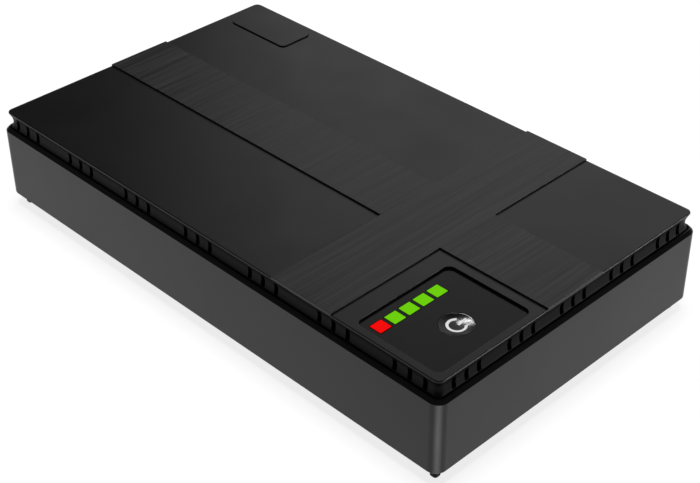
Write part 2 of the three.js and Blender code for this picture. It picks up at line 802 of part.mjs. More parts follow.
function makeUsbShell() {
  const { width, depth, height, wall } = usbSocket;
  const outer = block([-width / 2, -depth, 0], [width / 2, 0, height]);
  const inner = block([-width / 2 + wall, -depth + wall, wall], [width / 2 - wall, overshoot, height - wall]);
  return outer.subtract(inner);
}

function makeUsbTongue() {
  const { width, depth, height, wall, rootDepth } = usbSocket;
  const { tongueWidth, tongueThickness, tongueDrop, tongueSetback } = usbSocket;
  const inset = wall + gap;
  const root = block(
    [-width / 2 + inset, -depth + inset, inset],
    [width / 2 - inset, -depth + rootDepth, height - inset],
  );
  const tongueTop = height - wall - tongueDrop;
  const tongue = block(
    [-tongueWidth / 2, -depth + rootDepth - weld, tongueTop - tongueThickness],
    [tongueWidth / 2, -tongueSetback, tongueTop],
  );
  return root.add(tongue);
}

function makeDataJack() {
  const { width, depth, height, cavityWidth, cavityHeight, cavityFloor, cavityDepth } = dataJack;
  const { latchWidth, latchHeight } = dataJack;
  const body = block([-width / 2, -depth, 0], [width / 2, 0, height]);
  const cavity = block(
    [-cavityWidth / 2, -cavityDepth, cavityFloor],
    [cavityWidth / 2, overshoot, cavityFloor + cavityHeight],
  );
  const latch = block(
    [-latchWidth / 2, -cavityDepth, cavityFloor - latchHeight],
    [latchWidth / 2, overshoot, cavityFloor + weld],
  );
  return body.subtract(cavity).subtract(latch);
}

// A carrier across the top of the cavity, with sprung contacts that slope down towards its back.
function makeContacts() {
  const { count, pitch, width, thickness, drop } = contacts;
  const { carrierThickness, carrierMargin, carrierSetback, fingerStart, fingerEnd, fingerRoot } = contacts;
  const top = dataJack.cavityFloor + dataJack.cavityHeight - gap;
  const carrierHalf = count * pitch / 2 + carrierMargin;
  const carrier = block(
    [-carrierHalf, -dataJack.cavityDepth + gap, top - carrierThickness],
    [carrierHalf, -carrierSetback, top],
  );
  const side = new THREE.Shape();
  side.moveTo(-fingerStart, -carrierThickness / 2);
  side.lineTo(-fingerStart, -carrierThickness - thickness);
  side.lineTo(-fingerEnd, -carrierThickness - drop);
  side.lineTo(-fingerEnd - thickness, -carrierThickness - drop + thickness);
  side.lineTo(-fingerRoot, -carrierThickness / 2);
  side.closePath();
  const fingers = [];
  for (let i = 0; i < count; i++) {
    const x = (i - (count - 1) / 2) * pitch;
    const finger = plate(side, -width / 2, width / 2);
    // The outline is drawn as (y, z) and its depth runs along X.
    fingers.push(finger.rotate([90, 0, 90]).translate([x, 0, top]));
  }
  return union([carrier, ...fingers]);
}

// ---------------------------------------------------------------------------------------------------
// Battery pack
// ---------------------------------------------------------------------------------------------------
function cellX(index) {
  return packMiddle.x + (index - (cellCount - 1) / 2) * cellPitch;
}

// Cells alternate in direction, so that one strip joins unlike ends.
function makeCell(index) {
  const sign = index < cellCount / 2 ? 1 : -1;
  const half = cellLength / 2;
  const profile = [
    new THREE.Vector2(0, -half),
    new THREE.Vector2(cellRadius - cellShoulder, -half),
    new THREE.Vector2(cellRadius, -half + cellShoulder),
    new THREE.Vector2(cellRadius, half - cellShoulder),
    new THREE.Vector2(cellRadius - cellShoulder, half),
    new THREE.Vector2(cellTipRadius, half),
    new THREE.Vector2(cellTipRadius, half + cellTipHeight),
    new THREE.Vector2(0, half + cellTipHeight),
  ];
  const geometry = new THREE.LatheGeometry(profile, 24).rotateZ(sign > 0 ? 0 : Math.PI);
  return toSolid(geometry.translate(cellX(index), packMiddle.y, cellAxis));
}

function makeHolder() {
  const top = cellAxis + holderWallRise;
  const across = (front, back, height) => block([holderLeft, front, holderFoot], [holderRight, back, height]);
  const base = across(holderFront, holderBack, holderFoot + holderBase);
  const frontWall = across(holderFront, holderFront + holderWall, top);
  const backWall = across(holderBack - holderWall, holderBack, top);
  const windows = [];
  const cellHollows = [];
  for (let i = 0; i < cellCount; i++) {
    const x = cellX(i);
    windows.push(bar(x, cellAxis, holderWindowRadius, holderFront - overshoot, holderBack + overshoot, 16));
    cellHollows.push(bar(x, cellAxis, cellRadius + gap, holderFront + holderWall, holderBack - holderWall));
  }
  const frame = union([base, frontWall, backWall]).subtract(union(windows));
  // Low ribs cradle the cells along their length.
  const ribs = [-1, 1].map((side) => {
    const y = packMiddle.y + side * holderRibSpacing / 2;
    return across(y - holderRibWidth / 2, y + holderRibWidth / 2, cellAxis - holderRibDrop);
  });
  return frame.add(union(ribs).subtract(union(cellHollows)));
}

// A strip across the ends of some cells: side is -1 at the front ends and 1 at the back ends.
function makeStrip(first, last, side) {
  const face = packMiddle.y + side * (cellLength / 2 + cellTipHeight + gap);
  const outer = face + side * stripThickness;
  const reach = stripWidth / 2;
  return block(
    [cellX(first) - reach, Math.min(face, outer), cellAxis - reach],
    [cellX(last) + reach, Math.max(face, outer), cellAxis + reach],
  );
}

function makePad() {
  const foot = cellAxis + cellRadius + gap;
  return block(
    [cellX(0), packMiddle.y - padLength / 2, foot],
    [cellX(cellCount - 1), packMiddle.y + padLength / 2, lidUnderside - gap],
  );
}

const guardBoard = { foot: holderFoot + guardBoardRise, front: packMiddle.y - guardBoardLength / 2 };

function makeGuardBoard() {
  const { foot, front } = guardBoard;
  return block(
    [guardBoardX, front, foot],
    [guardBoardX + guardBoardThickness, front + guardBoardLength, foot + guardBoardHeight],
  );
}

// Battery connector on the main board, and the two leads to it
const plugPlace = { x: mainBoard.left + plug.fromLeft, y: holderFront + plug.fromFront };
const headerFoot = boardTop + gap;
const plugFoot = headerFoot + plug.headerHeight + gap;
const plugTop = plugFoot + plug.height;

function plugBlock(foot, top) {
  const { x, y } = plugPlace;
  return block(
    [x - plug.width / 2, y - plug.length / 2, foot],
    [x + plug.width / 2, y + plug.length / 2, top],
  );
}

function makeLead(side) {
  const start = guardBoardX + guardBoardThickness + gap;
  const y = plugPlace.y + side * leadSpacing / 2;
  const height = guardBoard.foot + guardBoardHeight - leadDrop;
  const path = new THREE.CatmullRomCurve3([
    new THREE.Vector3(start, y, height),
    new THREE.Vector3(start + leadRun, y, height + leadArch),
    new THREE.Vector3(plugPlace.x - leadBend, y, height),
    new THREE.Vector3(plugPlace.x, y, height - leadRun),
    new THREE.Vector3(plugPlace.x, y, plugTop + gap),
  ]);
  const section = new THREE.Shape().absarc(0, 0, leadRadius, 0, 2 * Math.PI);
  return toSolid(new THREE.ExtrudeGeometry(section, { steps: 12, extrudePath: path, curveSegments: 4 }));
}

// ---------------------------------------------------------------------------------------------------
// Main board and its parts
// ---------------------------------------------------------------------------------------------------
function makeMainBoard() {
  const { left, right, front, back } = mainBoard;
  let board = block([left, front, boardFoot], [right, back, boardTop]);
  board = board.add(block([-right, holderBack + 2 * gap, boardFoot], [right, back, boardTop]));
  for (const [signX, signY] of corners) {
    const room = screwBossRadius + boardClearance;
    const x = [signX * (screwX - room), signX * bodyLength];
    const y = [signY * (screwY - room), signY * bodyWidth];
    board = board.subtract(block(
      [Math.min(...x), Math.min(...y), boardFoot - overshoot],
      [Math.max(...x), Math.max(...y), boardTop + overshoot],
    ));
  }
  for (const [x, y] of standoffs) {
    board = board.subtract(post(x, y, pegRadius + gap, boardFoot - overshoot, boardTop + overshoot, 12));
  }
  return board;
}

// Parts that stand on the board are drawn about their own middle, standing on z = 0.
function makeInductor({ side, height }) {
  const core = roundedPlate(side, side, inductorCornerRadius, 0, height);
  const wellRadius = side / 2 - inductorWall;
  const wellFoot = height - inductorCoilDepth;
  const well = post(0, 0, wellRadius, wellFoot, height + overshoot);
  const coil = post(0, 0, wellRadius - inductorCoilGap, wellFoot - weld, height - inductorCoilDrop);
  return core.subtract(well).add(coil);
}

function makeTransformer() {
  const { coreLength, coreWidth, height } = transformer;
  const { windingLength, windingWidth, windingRadius, windingMargin } = transformer;
  const core = block([-coreLength / 2, -coreWidth / 2, 0], [coreLength / 2, coreWidth / 2, height]);
  const winding = roundedPlate(
    windingLength, windingWidth, windingRadius, windingMargin, height - windingMargin,
  );
  return core.add(winding);
}

// A can with a crimped bead near its foot.
function makeCapacitor() {
  const { radius, height, bottomRound, bead, beadFoot, beadHeight, topRound } = capacitor;
  const profile = [
    [0, 0],
    [radius - bottomRound, 0],
    [radius, bottomRound],
    [radius, beadFoot],
    [radius - bead, beadFoot + beadHeight / 2],
    [radius, beadFoot + beadHeight],
    [radius, height - topRound],
    [radius - topRound, height],
    [0, height],
  ];
  const points = profile.map(([x, y]) => new THREE.Vector2(x, y));
  return toSolid(new THREE.LatheGeometry(points, 24).rotateX(Math.PI / 2));
}

function makeHeatsink() {
  const { length, width, height, baseThickness, finCount, finThickness } = heatsink;
  const base = block([-length / 2, -width / 2, 0], [length / 2, width / 2, baseThickness]);
  const fins = [];
  for (let i = 0; i < finCount; i++) {
    const y = -width / 2 + i * (width - finThickness) / (finCount - 1);
    fins.push(block([-length / 2, y, baseThickness - weld], [length / 2, y + finThickness, height]));
  }
  return base.add(union(fins));
}

function makeChip() {
  return roundedPlate(chip.side, chip.side, chip.cornerRadius, 0, chip.height);
}

// Flat cable from the control board down to its socket on the main board
const cableX = button.x - cable.fromButton;
const cableTop = new THREE.Vector2(controlBoard.back - cable.fromBoardBack, controlBoardFoot - gap);
const cableFoot = new THREE.Vector2(
  controlBoard.back + cableSocket.fromBoardBack,
  boardTop + 2 * gap + cableSocket.height,
);

function makeCable() {
  const path = new THREE.CubicBezierCurve(
    cableTop,
    new THREE.Vector2(cableTop.x, cableTop.y - cable.bow),
    new THREE.Vector2(cableFoot.x, cableFoot.y + cable.bow),
    cableFoot,
  );
  const near = [];
  const far = [];
  for (let i = 0; i <= cable.steps; i++) {
    const point = path.getPoint(i / cable.steps);
    const tangent = path.getTangent(i / cable.steps);
    const offset = new THREE.Vector2(-tangent.y, tangent.x).multiplyScalar(cable.thickness / 2);
    near.push(point.clone().add(offset));
    far.unshift(point.clone().sub(offset));
  }
  const strip = plate(new THREE.Shape([...near, ...far]), -cable.width / 2, cable.width / 2);
  return strip.rotate([90, 0, 90]).translate([cableX, 0, 0]);
}

function makeCableSocket() {
  const half = cable.width / 2 + cableSocket.margin;
  return block(
    [cableX - half, cableFoot.x - cableSocket.width / 2, boardTop + gap],
    [cableX + half, cableFoot.x + cableSocket.width / 2, boardTop + gap + cableSocket.height],
  );
}

// ---------------------------------------------------------------------------------------------------
// Assembly
// ---------------------------------------------------------------------------------------------------
const enclosure = new THREE.Group();
addMesh(enclosure, 'bottom_shell', makeBottomShell(), materials.shell);
addMesh(enclosure, 'top_cover', makeTopCover(), materials.shell);
addMesh(enclosure, 'badge_plate', makeBadgePlate(), materials.shell);
const cornerNames = ['front_left', 'front_right', 'back_right', 'back_left'];
corners.forEach((corner, i) => {
  const place = footCentre(corner);
  const foot = addMesh(enclosure, `foot_${cornerNames[i]}`, makeFoot(), materials.rubber);
  foot.position.set(place.x, place.y, 0);
  const screw = addMesh(enclosure, `case_screw_${cornerNames[i]}`, makeScrew(), materials.screw);
  screw.position.set(corner[0] * screwX, corner[1] * screwY, shellBase);
});

const controls = new THREE.Group();
addMesh(controls, 'control_overlay', makeOverlay(), materials.panel);
addMesh(controls, 'light_red', makeLight(0), materials.redLight);
for (let i = 1; i < lightCount; i++) {
  addMesh(controls, `light_green_${i}`, makeLight(i), materials.greenLight);
}
addMesh(controls, 'control_board', makeControlBoard(), materials.board);
addMesh(controls, 'switch_body', makeSwitchBody(), materials.chip);
addMesh(controls, 'switch_plunger', makePlunger(), materials.button);

const powerKey = new THREE.Group();
powerKey.position.set(button.x, button.y, overlayTop);
const [ringShape, strokeShape] = symbolShapes(0);
addMesh(powerKey, 'power_button', makeButton(), materials.button);
addMesh(powerKey, 'power_symbol_ring', makeSymbolPart(ringShape), materials.symbol);
addMesh(powerKey, 'power_symbol_stroke', makeSymbolPart(strokeShape), materials.symbol);
controls.add(powerKey);

const backSockets = new THREE.Group();
backSockets.position.set(0, socketFace, boardTop + gap);
['dc_inlet', 'dc_outlet_1', 'dc_outlet_2'].forEach((name, i) => {
  addMesh(backSockets, name, makeDcJack(), materials.socketPlastic).position.x = sockets.dc[i];
  addMesh(backSockets, `${name}_pin`, makeDcPin(), materials.socketMetal).position.x = sockets.dc[i];
});
addMesh(backSockets, 'usb_shell', makeUsbShell(), materials.socketMetal).position.x = sockets.usb;
addMesh(backSockets, 'usb_tongue', makeUsbTongue(), materials.whitePlastic).position.x = sockets.usb;
['data_jack_1', 'data_jack_2'].forEach((name, i) => {
  addMesh(backSockets, name, makeDataJack(), materials.socketPlastic).position.x = sockets.data[i];
  addMesh(backSockets, `${name}_contacts`, makeContacts(), materials.contact).position.x = sockets.data[i];
});

const pack = new THREE.Group();
for (let i = 0; i < cellCount; i++) {
  addMesh(pack, `cell_${i + 1}`, makeCell(i), materials.cellWrap);
}
addMesh(pack, 'cell_holder', makeHolder(), materials.holder);
addMesh(pack, 'strip_series', makeStrip(0, cellCount - 1, -1), materials.nickel);
addMesh(pack, 'strip_positive', makeStrip(0, cellCount / 2 - 1, 1), materials.nickel);
addMesh(pack, 'strip_negative', makeStrip(cellCount / 2, cellCount - 1, 1), materials.nickel);
addMesh(pack, 'foam_pad', makePad(), materials.foam);
addMesh(pack, 'guard_board', makeGuardBoard(), materials.board);
addMesh(pack, 'lead_positive', makeLead(1), materials.redWire);
addMesh(pack, 'lead_negative', makeLead(-1), materials.blackWire);
addMesh(pack, 'battery_plug', plugBlock(plugFoot, plugTop), materials.whitePlastic);

const electronics = new THREE.Group();
addMesh(electronics, 'main_board', makeMainBoard(), materials.board);
const header = plugBlock(headerFoot, headerFoot + plug.headerHeight);
addMesh(electronics, 'battery_header', header, materials.whitePlastic);
addMesh(electronics, 'cable_socket', makeCableSocket(), materials.whitePlastic);
addMesh(electronics, 'flat_cable', makeCable(), materials.ribbon);
const onBoard = new THREE.Group();
onBoard.position.set(0, mainBoard.front, boardTop + gap);

// Stands a part on the board, at its distance from the board's left or right edge and its front edge.
function placeOnBoard(name, solid, material, { fromLeft, fromRight, fromFront }) {
  const x = fromRight === undefined ? mainBoard.left + fromLeft : mainBoard.right - fromRight;
  addMesh(onBoard, name, solid, material).position.set(x, fromFront, 0);
}

placeOnBoard('boost_inductor', makeInductor(boostInductor), materials.ferrite, boostInductor);
placeOnBoard('buck_inductor', makeInductor(buckInductor), materials.ferrite, buckInductor);
placeOnBoard('transformer', makeTransformer(), materials.ferrite, transformer);
for (const i of [0, 1]) {
  const place = { fromLeft: capacitor.fromLeft + i * capacitor.pitch, fromFront: capacitor.fromFront };
  placeOnBoard(`capacitor_${i + 1}`, makeCapacitor(), materials.aluminium, place);
}
placeOnBoard('heatsink', makeHeatsink(), materials.aluminium, heatsink);
placeOnBoard('controller_chip', makeChip(), materials.chip, chip);
electronics.add(onBoard);

const powerSupply = new THREE.Group();
powerSupply.add(enclosure, controls, backSockets, pack, electronics);

export default powerSupply;
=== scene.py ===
"""Looks of a small DC uninterruptible power supply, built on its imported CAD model.

The case is satin black moulded plastic with two raised, brushed bands, a smooth sunk panel with lit
lenses and a glossy dished power button. Every size below is in metres, in the frame of the CAD model:
X along the length, Y from the front to the socket side, Z up, with the origin on the surface that the
box stands on.
"""

import json
import math

import bmesh
import bpy
from mathutils import Matrix, Vector


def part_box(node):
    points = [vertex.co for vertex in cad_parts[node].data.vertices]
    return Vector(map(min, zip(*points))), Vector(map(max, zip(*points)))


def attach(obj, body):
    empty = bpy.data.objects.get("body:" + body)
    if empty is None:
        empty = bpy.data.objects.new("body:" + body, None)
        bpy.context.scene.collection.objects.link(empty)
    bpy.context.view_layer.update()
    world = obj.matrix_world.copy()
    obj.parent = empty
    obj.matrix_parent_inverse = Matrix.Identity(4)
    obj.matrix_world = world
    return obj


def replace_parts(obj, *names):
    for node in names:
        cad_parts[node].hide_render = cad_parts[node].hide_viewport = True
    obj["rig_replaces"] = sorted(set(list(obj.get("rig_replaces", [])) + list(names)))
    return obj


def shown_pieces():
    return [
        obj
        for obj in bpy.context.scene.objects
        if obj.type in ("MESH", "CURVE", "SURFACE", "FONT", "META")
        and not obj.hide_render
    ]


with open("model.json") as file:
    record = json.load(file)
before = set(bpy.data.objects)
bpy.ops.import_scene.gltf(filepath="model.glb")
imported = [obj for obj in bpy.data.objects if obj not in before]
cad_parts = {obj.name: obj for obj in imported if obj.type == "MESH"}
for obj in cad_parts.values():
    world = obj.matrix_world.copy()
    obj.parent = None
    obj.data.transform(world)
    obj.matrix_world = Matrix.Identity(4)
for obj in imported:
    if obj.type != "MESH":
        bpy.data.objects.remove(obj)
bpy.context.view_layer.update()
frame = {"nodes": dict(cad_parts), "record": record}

MM = 0.001

# ---------------------------------------------------------------------------------------------------
# Sizes that the boxes of the CAD nodes don't give
# ---------------------------------------------------------------------------------------------------
GAP = 0.3 * MM  # between pieces that rest on, or pass through, each other
SEAM = 0.2 * MM  # round a piece let into a recess
JOIN = MM / 2  # how far a joined solid runs into its neighbour
CUT_BEYOND = MM  # how far a cutter runs past a face
BED_CUT_BEYOND = MM / 10  # the same, above the panel's bed

CORNER_RADIUS = 3 * MM
SHELL_WALL = 2 * MM
SHELL_FLOOR = 2 * MM
UNDERSIDE_ROUND = 0.3 * MM
RIM_CHAMFER = 0.85 * MM
RIM_LAND = 0.3 * MM
RIM_EDGE_ROUND = 0.06 * MM
REBATE_DEPTH = 1.3 * MM
SMALLEST_RADIUS = 0.6 * MM

LID_EDGE_HEIGHT = 0.45 * MM
LID_EDGE_ROUND = 0.25 * MM
LID_THICKNESS = 2 * MM
NECK_INSET = 1.5 * MM
NECK_HOLLOW = 0.5 * MM
NECK_HOLLOW_HEIGHT = 2.2 * MM  # rim to the deepest pull of the hollow
NECK_WALL = 1.9 * MM
NECK_CORNER_RADIUS = 2.1 * MM
LIP_DEPTH = 1.4 * MM
COVER_POST_RADIUS = 3 * MM

BAND_WIDTH = 20 * MM
BAND_RISE = 0.45 * MM
BAND_EDGE_ROUND = 0.1 * MM
CROSS_BAND_INSET = 33.5 * MM

SLOT_WIDTH = 1.35 * MM
SLOT_RISE = 0.2 * MM
SLOT_HEIGHT = 3.15 * MM
SLOT_END_RADIUS = 0.2 * MM
SLOTS_PER_GROUP = 3
SLOT_END_MARGIN = 7 * MM
LONG_SIDE = {"slot_pitch": 4.63 * MM, "group_pitch": 24.02 * MM}
SHORT_SIDE = {"slot_pitch": 4.13 * MM, "group_pitch": 18.48 * MM}

PANEL_SEAM = 0.08 * MM
PANEL_CORNER_RADIUS = 2 * MM
PANEL_BED_MARGIN = 1.5 * MM
PANEL_BED_THICKNESS = 1.5 * MM
PANEL_BED_EDGE_ROUND = 0.1 * MM
RECESS_EDGE_ROUND = 0.12 * MM
PLATE_EDGE_ROUND = 0.15 * MM
LENS_CORNER_RADIUS = 0.15 * MM
LENS_EDGE_ROUND = 0.08 * MM

BADGE_CORNER_RADIUS = 1.6 * MM

BUTTON_RADIUS = 4.3 * MM
BUTTON_RIM = 0.15 * MM
BUTTON_SEAM = 0.06 * MM
BUTTON_DISH = 0.5 * MM
BUTTON_FLANGE = 1 * MM
BUTTON_STEM_RADIUS = 1.5 * MM
SYMBOL_OUTER_RADIUS = 2.53 * MM
SYMBOL_INNER_RADIUS = 1.82 * MM
SYMBOL_OPENING = math.radians(43)  # half of the ring's opening
SYMBOL_BAR_START = 0.5 * MM
SYMBOL_BAR_END = 3.2 * MM
SYMBOL_BAR_WIDTH = 0.74 * MM
SYMBOL_RISE = 0.03 * MM
SYMBOL_THICKNESS = 0.2 * MM

SCREW_INSET = 6 * MM
SCREW_BOSS_RADIUS = 4.2 * MM
SCREW_HOLE_RADIUS = 1.5 * MM
SCREW_HEAD_RADIUS = 2.3 * MM
SCREW_SEAT = 2.4 * MM  # underside to the screw's seat

WINDOW_CORNER_RADIUS = 0.35 * MM
WINDOW_FLARE = 0.25 * MM

FOOT_CORNER_RADIUS = 0.7 * MM
FOOT_EDGE_ROUND = 0.3 * MM
FOOT_TAPER = 0.12 * MM

# Steps along rounds and curves
CORNER_STEPS = 14
ROUND_STEPS = 4
LATHE_STEPS = 96
HOLE_STEPS = 64
DISH_STEPS = 20
BUTTON_RIM_STEPS = 6
SYMBOL_RING_STEPS = 72
SYMBOL_BAR_STEPS = 16
SYMBOL_ACROSS_STEPS = 8
SMALL_CORNER_STEPS = 6
WINDOW_CORNER_STEPS = 4
SLOT_CORNER_STEPS = 3

# ---------------------------------------------------------------------------------------------------
# Places taken from the CAD model
# ---------------------------------------------------------------------------------------------------
shell_low, shell_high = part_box("bottom_shell")
cover_low, cover_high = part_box("top_cover")
panel_low, panel_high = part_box("control_overlay")
badge_low, badge_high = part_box("badge_plate")
key_low, key_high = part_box("power_button")

half_length = shell_high.x
half_width = shell_high.y
underside = shell_low.z
rim = shell_high.z
floor_top = underside + SHELL_FLOOR
ledge = rim - REBATE_DEPTH
skirt_foot = ledge + GAP
lid_inset = half_length - cover_high.x
lid_top = cover_high.z - BAND_RISE
lid_underside = lid_top - LID_THICKNESS
cavity_inset = NECK_INSET + NECK_WALL
key_axis = (key_low + key_high) / 2

slot_of = {row["node"]: row["material_slot"] for row in frame["record"]["subparts"]}
body_of = {node: body for body, nodes in frame["record"]["behaviour"]["bodies"].items() for node in nodes}


# ---------------------------------------------------------------------------------------------------
# Outlines and lofted solids
# ---------------------------------------------------------------------------------------------------
def rounded_outline(half_x, half_y, radius, steps=CORNER_STEPS):
    """A rounded rectangle's points as (x, y), anticlockwise."""
    points = []
    for turn, (side_x, side_y) in enumerate(((1, 1), (-1, 1), (-1, -1), (1, -1))):
        for step in range(steps + 1):
            angle = (turn + step / steps) * math.pi / 2
            points.append(
                (
                    side_x * (half_x - radius) + radius * math.cos(angle),
                    side_y * (half_y - radius) + radius * math.sin(angle),
                )
            )
    return points


def level(outline, height, middle=(0, 0)):
    """An outline laid flat at a height."""
    return [Vector((x + middle[0], y + middle[1], height)) for x, y in outline]


def body_ring(inset, height, radius=None):
    """The body's plan, drawn in from the shell's sides."""
    if radius is None:
        radius = max(CORNER_RADIUS - inset, SMALLEST_RADIUS)
    return level(rounded_outline(half_length - inset, half_width - inset, radius), height)


def skin(rings):
    """A closed solid through rings of points, with a flat face at each end."""
    solid = bmesh.new()
    rows = [[solid.verts.new(point) for point in ring] for ring in rings]
    for lower, upper in zip(rows, rows[1:]):
        for i in range(len(lower)):
            j = (i + 1) % len(lower)
            solid.faces.new((lower[i], lower[j], upper[j], upper[i]))
    solid.faces.new(list(reversed(rows[0])))
    solid.faces.new(rows[-1])
    bmesh.ops.recalc_face_normals(solid, faces=solid.faces)
    return solid


def lathe(profile, middle, steps=LATHE_STEPS):
    """A closed solid of revolution about an upright axis. The (radius, height) pairs end on the axis."""
    solid = bmesh.new()
    columns = []
    for step in range(steps):
        angle = 2 * math.pi * step / steps
        columns.append(
            [
                solid.verts.new((middle.x + r * math.cos(angle), middle.y + r * math.sin(angle), z))
                for r, z in profile[1:-1]
            ]
        )
    first = solid.verts.new((middle.x, middle.y, profile[0][1]))
    last = solid.verts.new((middle.x, middle.y, profile[-1][1]))
    for here, there in zip(columns, columns[1:] + columns[:1]):
        solid.faces.new((first, here[0], there[0]))
        for i in range(len(here) - 1):
            solid.faces.new((here[i], here[i + 1], there[i + 1], there[i]))
        solid.faces.new((last, there[-1], here[-1]))
    bmesh.ops.recalc_face_normals(solid, faces=solid.faces)
    return solid


def quarter_round(inset, height, radius, steps=ROUND_STEPS):
    """(inset, height) pairs of a convex edge round that ends at a face of the given height."""
    pairs = []
    for step in range(steps + 1):
        angle = step / steps * math.pi / 2
        pairs.append((inset + radius * (1 - math.cos(angle)), height - radius * (1 - math.sin(angle))))
    return pairs


def rounded_plate(low, high, radius, edge_round):
    """A plate with round corners and a round upper edge, between two corners of its box."""
    middle = (low + high) / 2
    half = (high - low) / 2
    rings = [level(rounded_outline(half.x, half.y, radius), low.z, middle)]
    for inset, height in quarter_round(0, high.z, edge_round):
        rings.append(level(rounded_outline(half.x - inset, half.y - inset, radius - inset), height, middle))
    return skin(rings)


def recess(low, high, radius, edge_round, top):
    """A cutter for a recess whose mouth, at high.z, has a round edge. It goes on up to top."""
    middle = (low + high) / 2
    half = (high - low) / 2
    rings = [level(rounded_outline(half.x, half.y, radius), low.z, middle)]
    for step in range(ROUND_STEPS + 1):
        angle = step / ROUND_STEPS * math.pi / 2
        grow = edge_round * (1 - math.cos(angle))
        height = high.z - edge_round * (1 - math.sin(angle))
        rings.append(level(rounded_outline(half.x + grow, half.y + grow, radius + grow), height, middle))
    rings.append([Vector((p.x, p.y, top)) for p in rings[-1]])
    return skin(rings)


def post(x, y, radius, foot, top, steps=32):
    """An upright round bar."""
    outline = [
        (radius * math.cos(2 * math.pi * i / steps), radius * math.sin(2 * math.pi * i / steps))
        for i in range(steps)
    ]
    return skin([level(outline, foot, (x, y)), level(outline, top, (x, y))])


def box_solid(low, high):
    """A plain cutter between two corners."""
    outline = [(low[0], low[1]), (high[0], low[1]), (high[0], high[1]), (low[0], high[1])]
    return skin([level(outline, low[2]), level(outline, high[2])])


# ---------------------------------------------------------------------------------------------------
# From solids to pieces
# ---------------------------------------------------------------------------------------------------
def new_object(name, solid):
    mesh = bpy.data.meshes.new(name)
    solid.to_mesh(mesh)
    solid.free()
    made = bpy.data.objects.new(name, mesh)
    bpy.context.scene.collection.objects.link(made)
    return made


def merged(solids):
    """Several separate solids as one."""
    whole = bmesh.new()
    for solid in solids:
        part = bpy.data.meshes.new("part")
        solid.to_mesh(part)
        solid.free()
        whole.from_mesh(part)
        bpy.data.meshes.remove(part)
    return whole


def combine(piece, solids, operation):
    """Joins solids to a piece, or cuts them out of it."""
    tool = new_object("tool", merged(solids))
    modifier = piece.modifiers.new("combine", "BOOLEAN")
    modifier.operation = operation
    modifier.solver = "EXACT"
    modifier.object = tool
    bpy.context.view_layer.update()
    shaped = bpy.data.meshes.new_from_object(piece.evaluated_get(bpy.context.evaluated_depsgraph_get()))
    piece.modifiers.clear()
    plain = piece.data
    piece.data = shaped
    bpy.data.meshes.remove(plain)
    bpy.data.objects.remove(tool)


def shade(piece, sharp_angle=32):
    """Smooth faces with sharp corners kept, and flat faces kept flat beside rounds."""
    for polygon in piece.data.polygons:
        polygon.use_smooth = True
    piece.data.set_sharp_from_angle(angle=math.radians(sharp_angle))
    weighted = piece.modifiers.new("weighted_normals", "WEIGHTED_NORMAL")
    weighted.keep_sharp = True
    weighted.weight = 100


def settle(piece, node, material):
    """Gives a finished piece its look and shading, and the body of the CAD node that it stands for, which it
    hides and replaces.
    """
    if not piece.data.materials:
        piece.data.materials.append(material)
    shade(piece)
    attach(piece, body_of[node])
    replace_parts(piece, node)


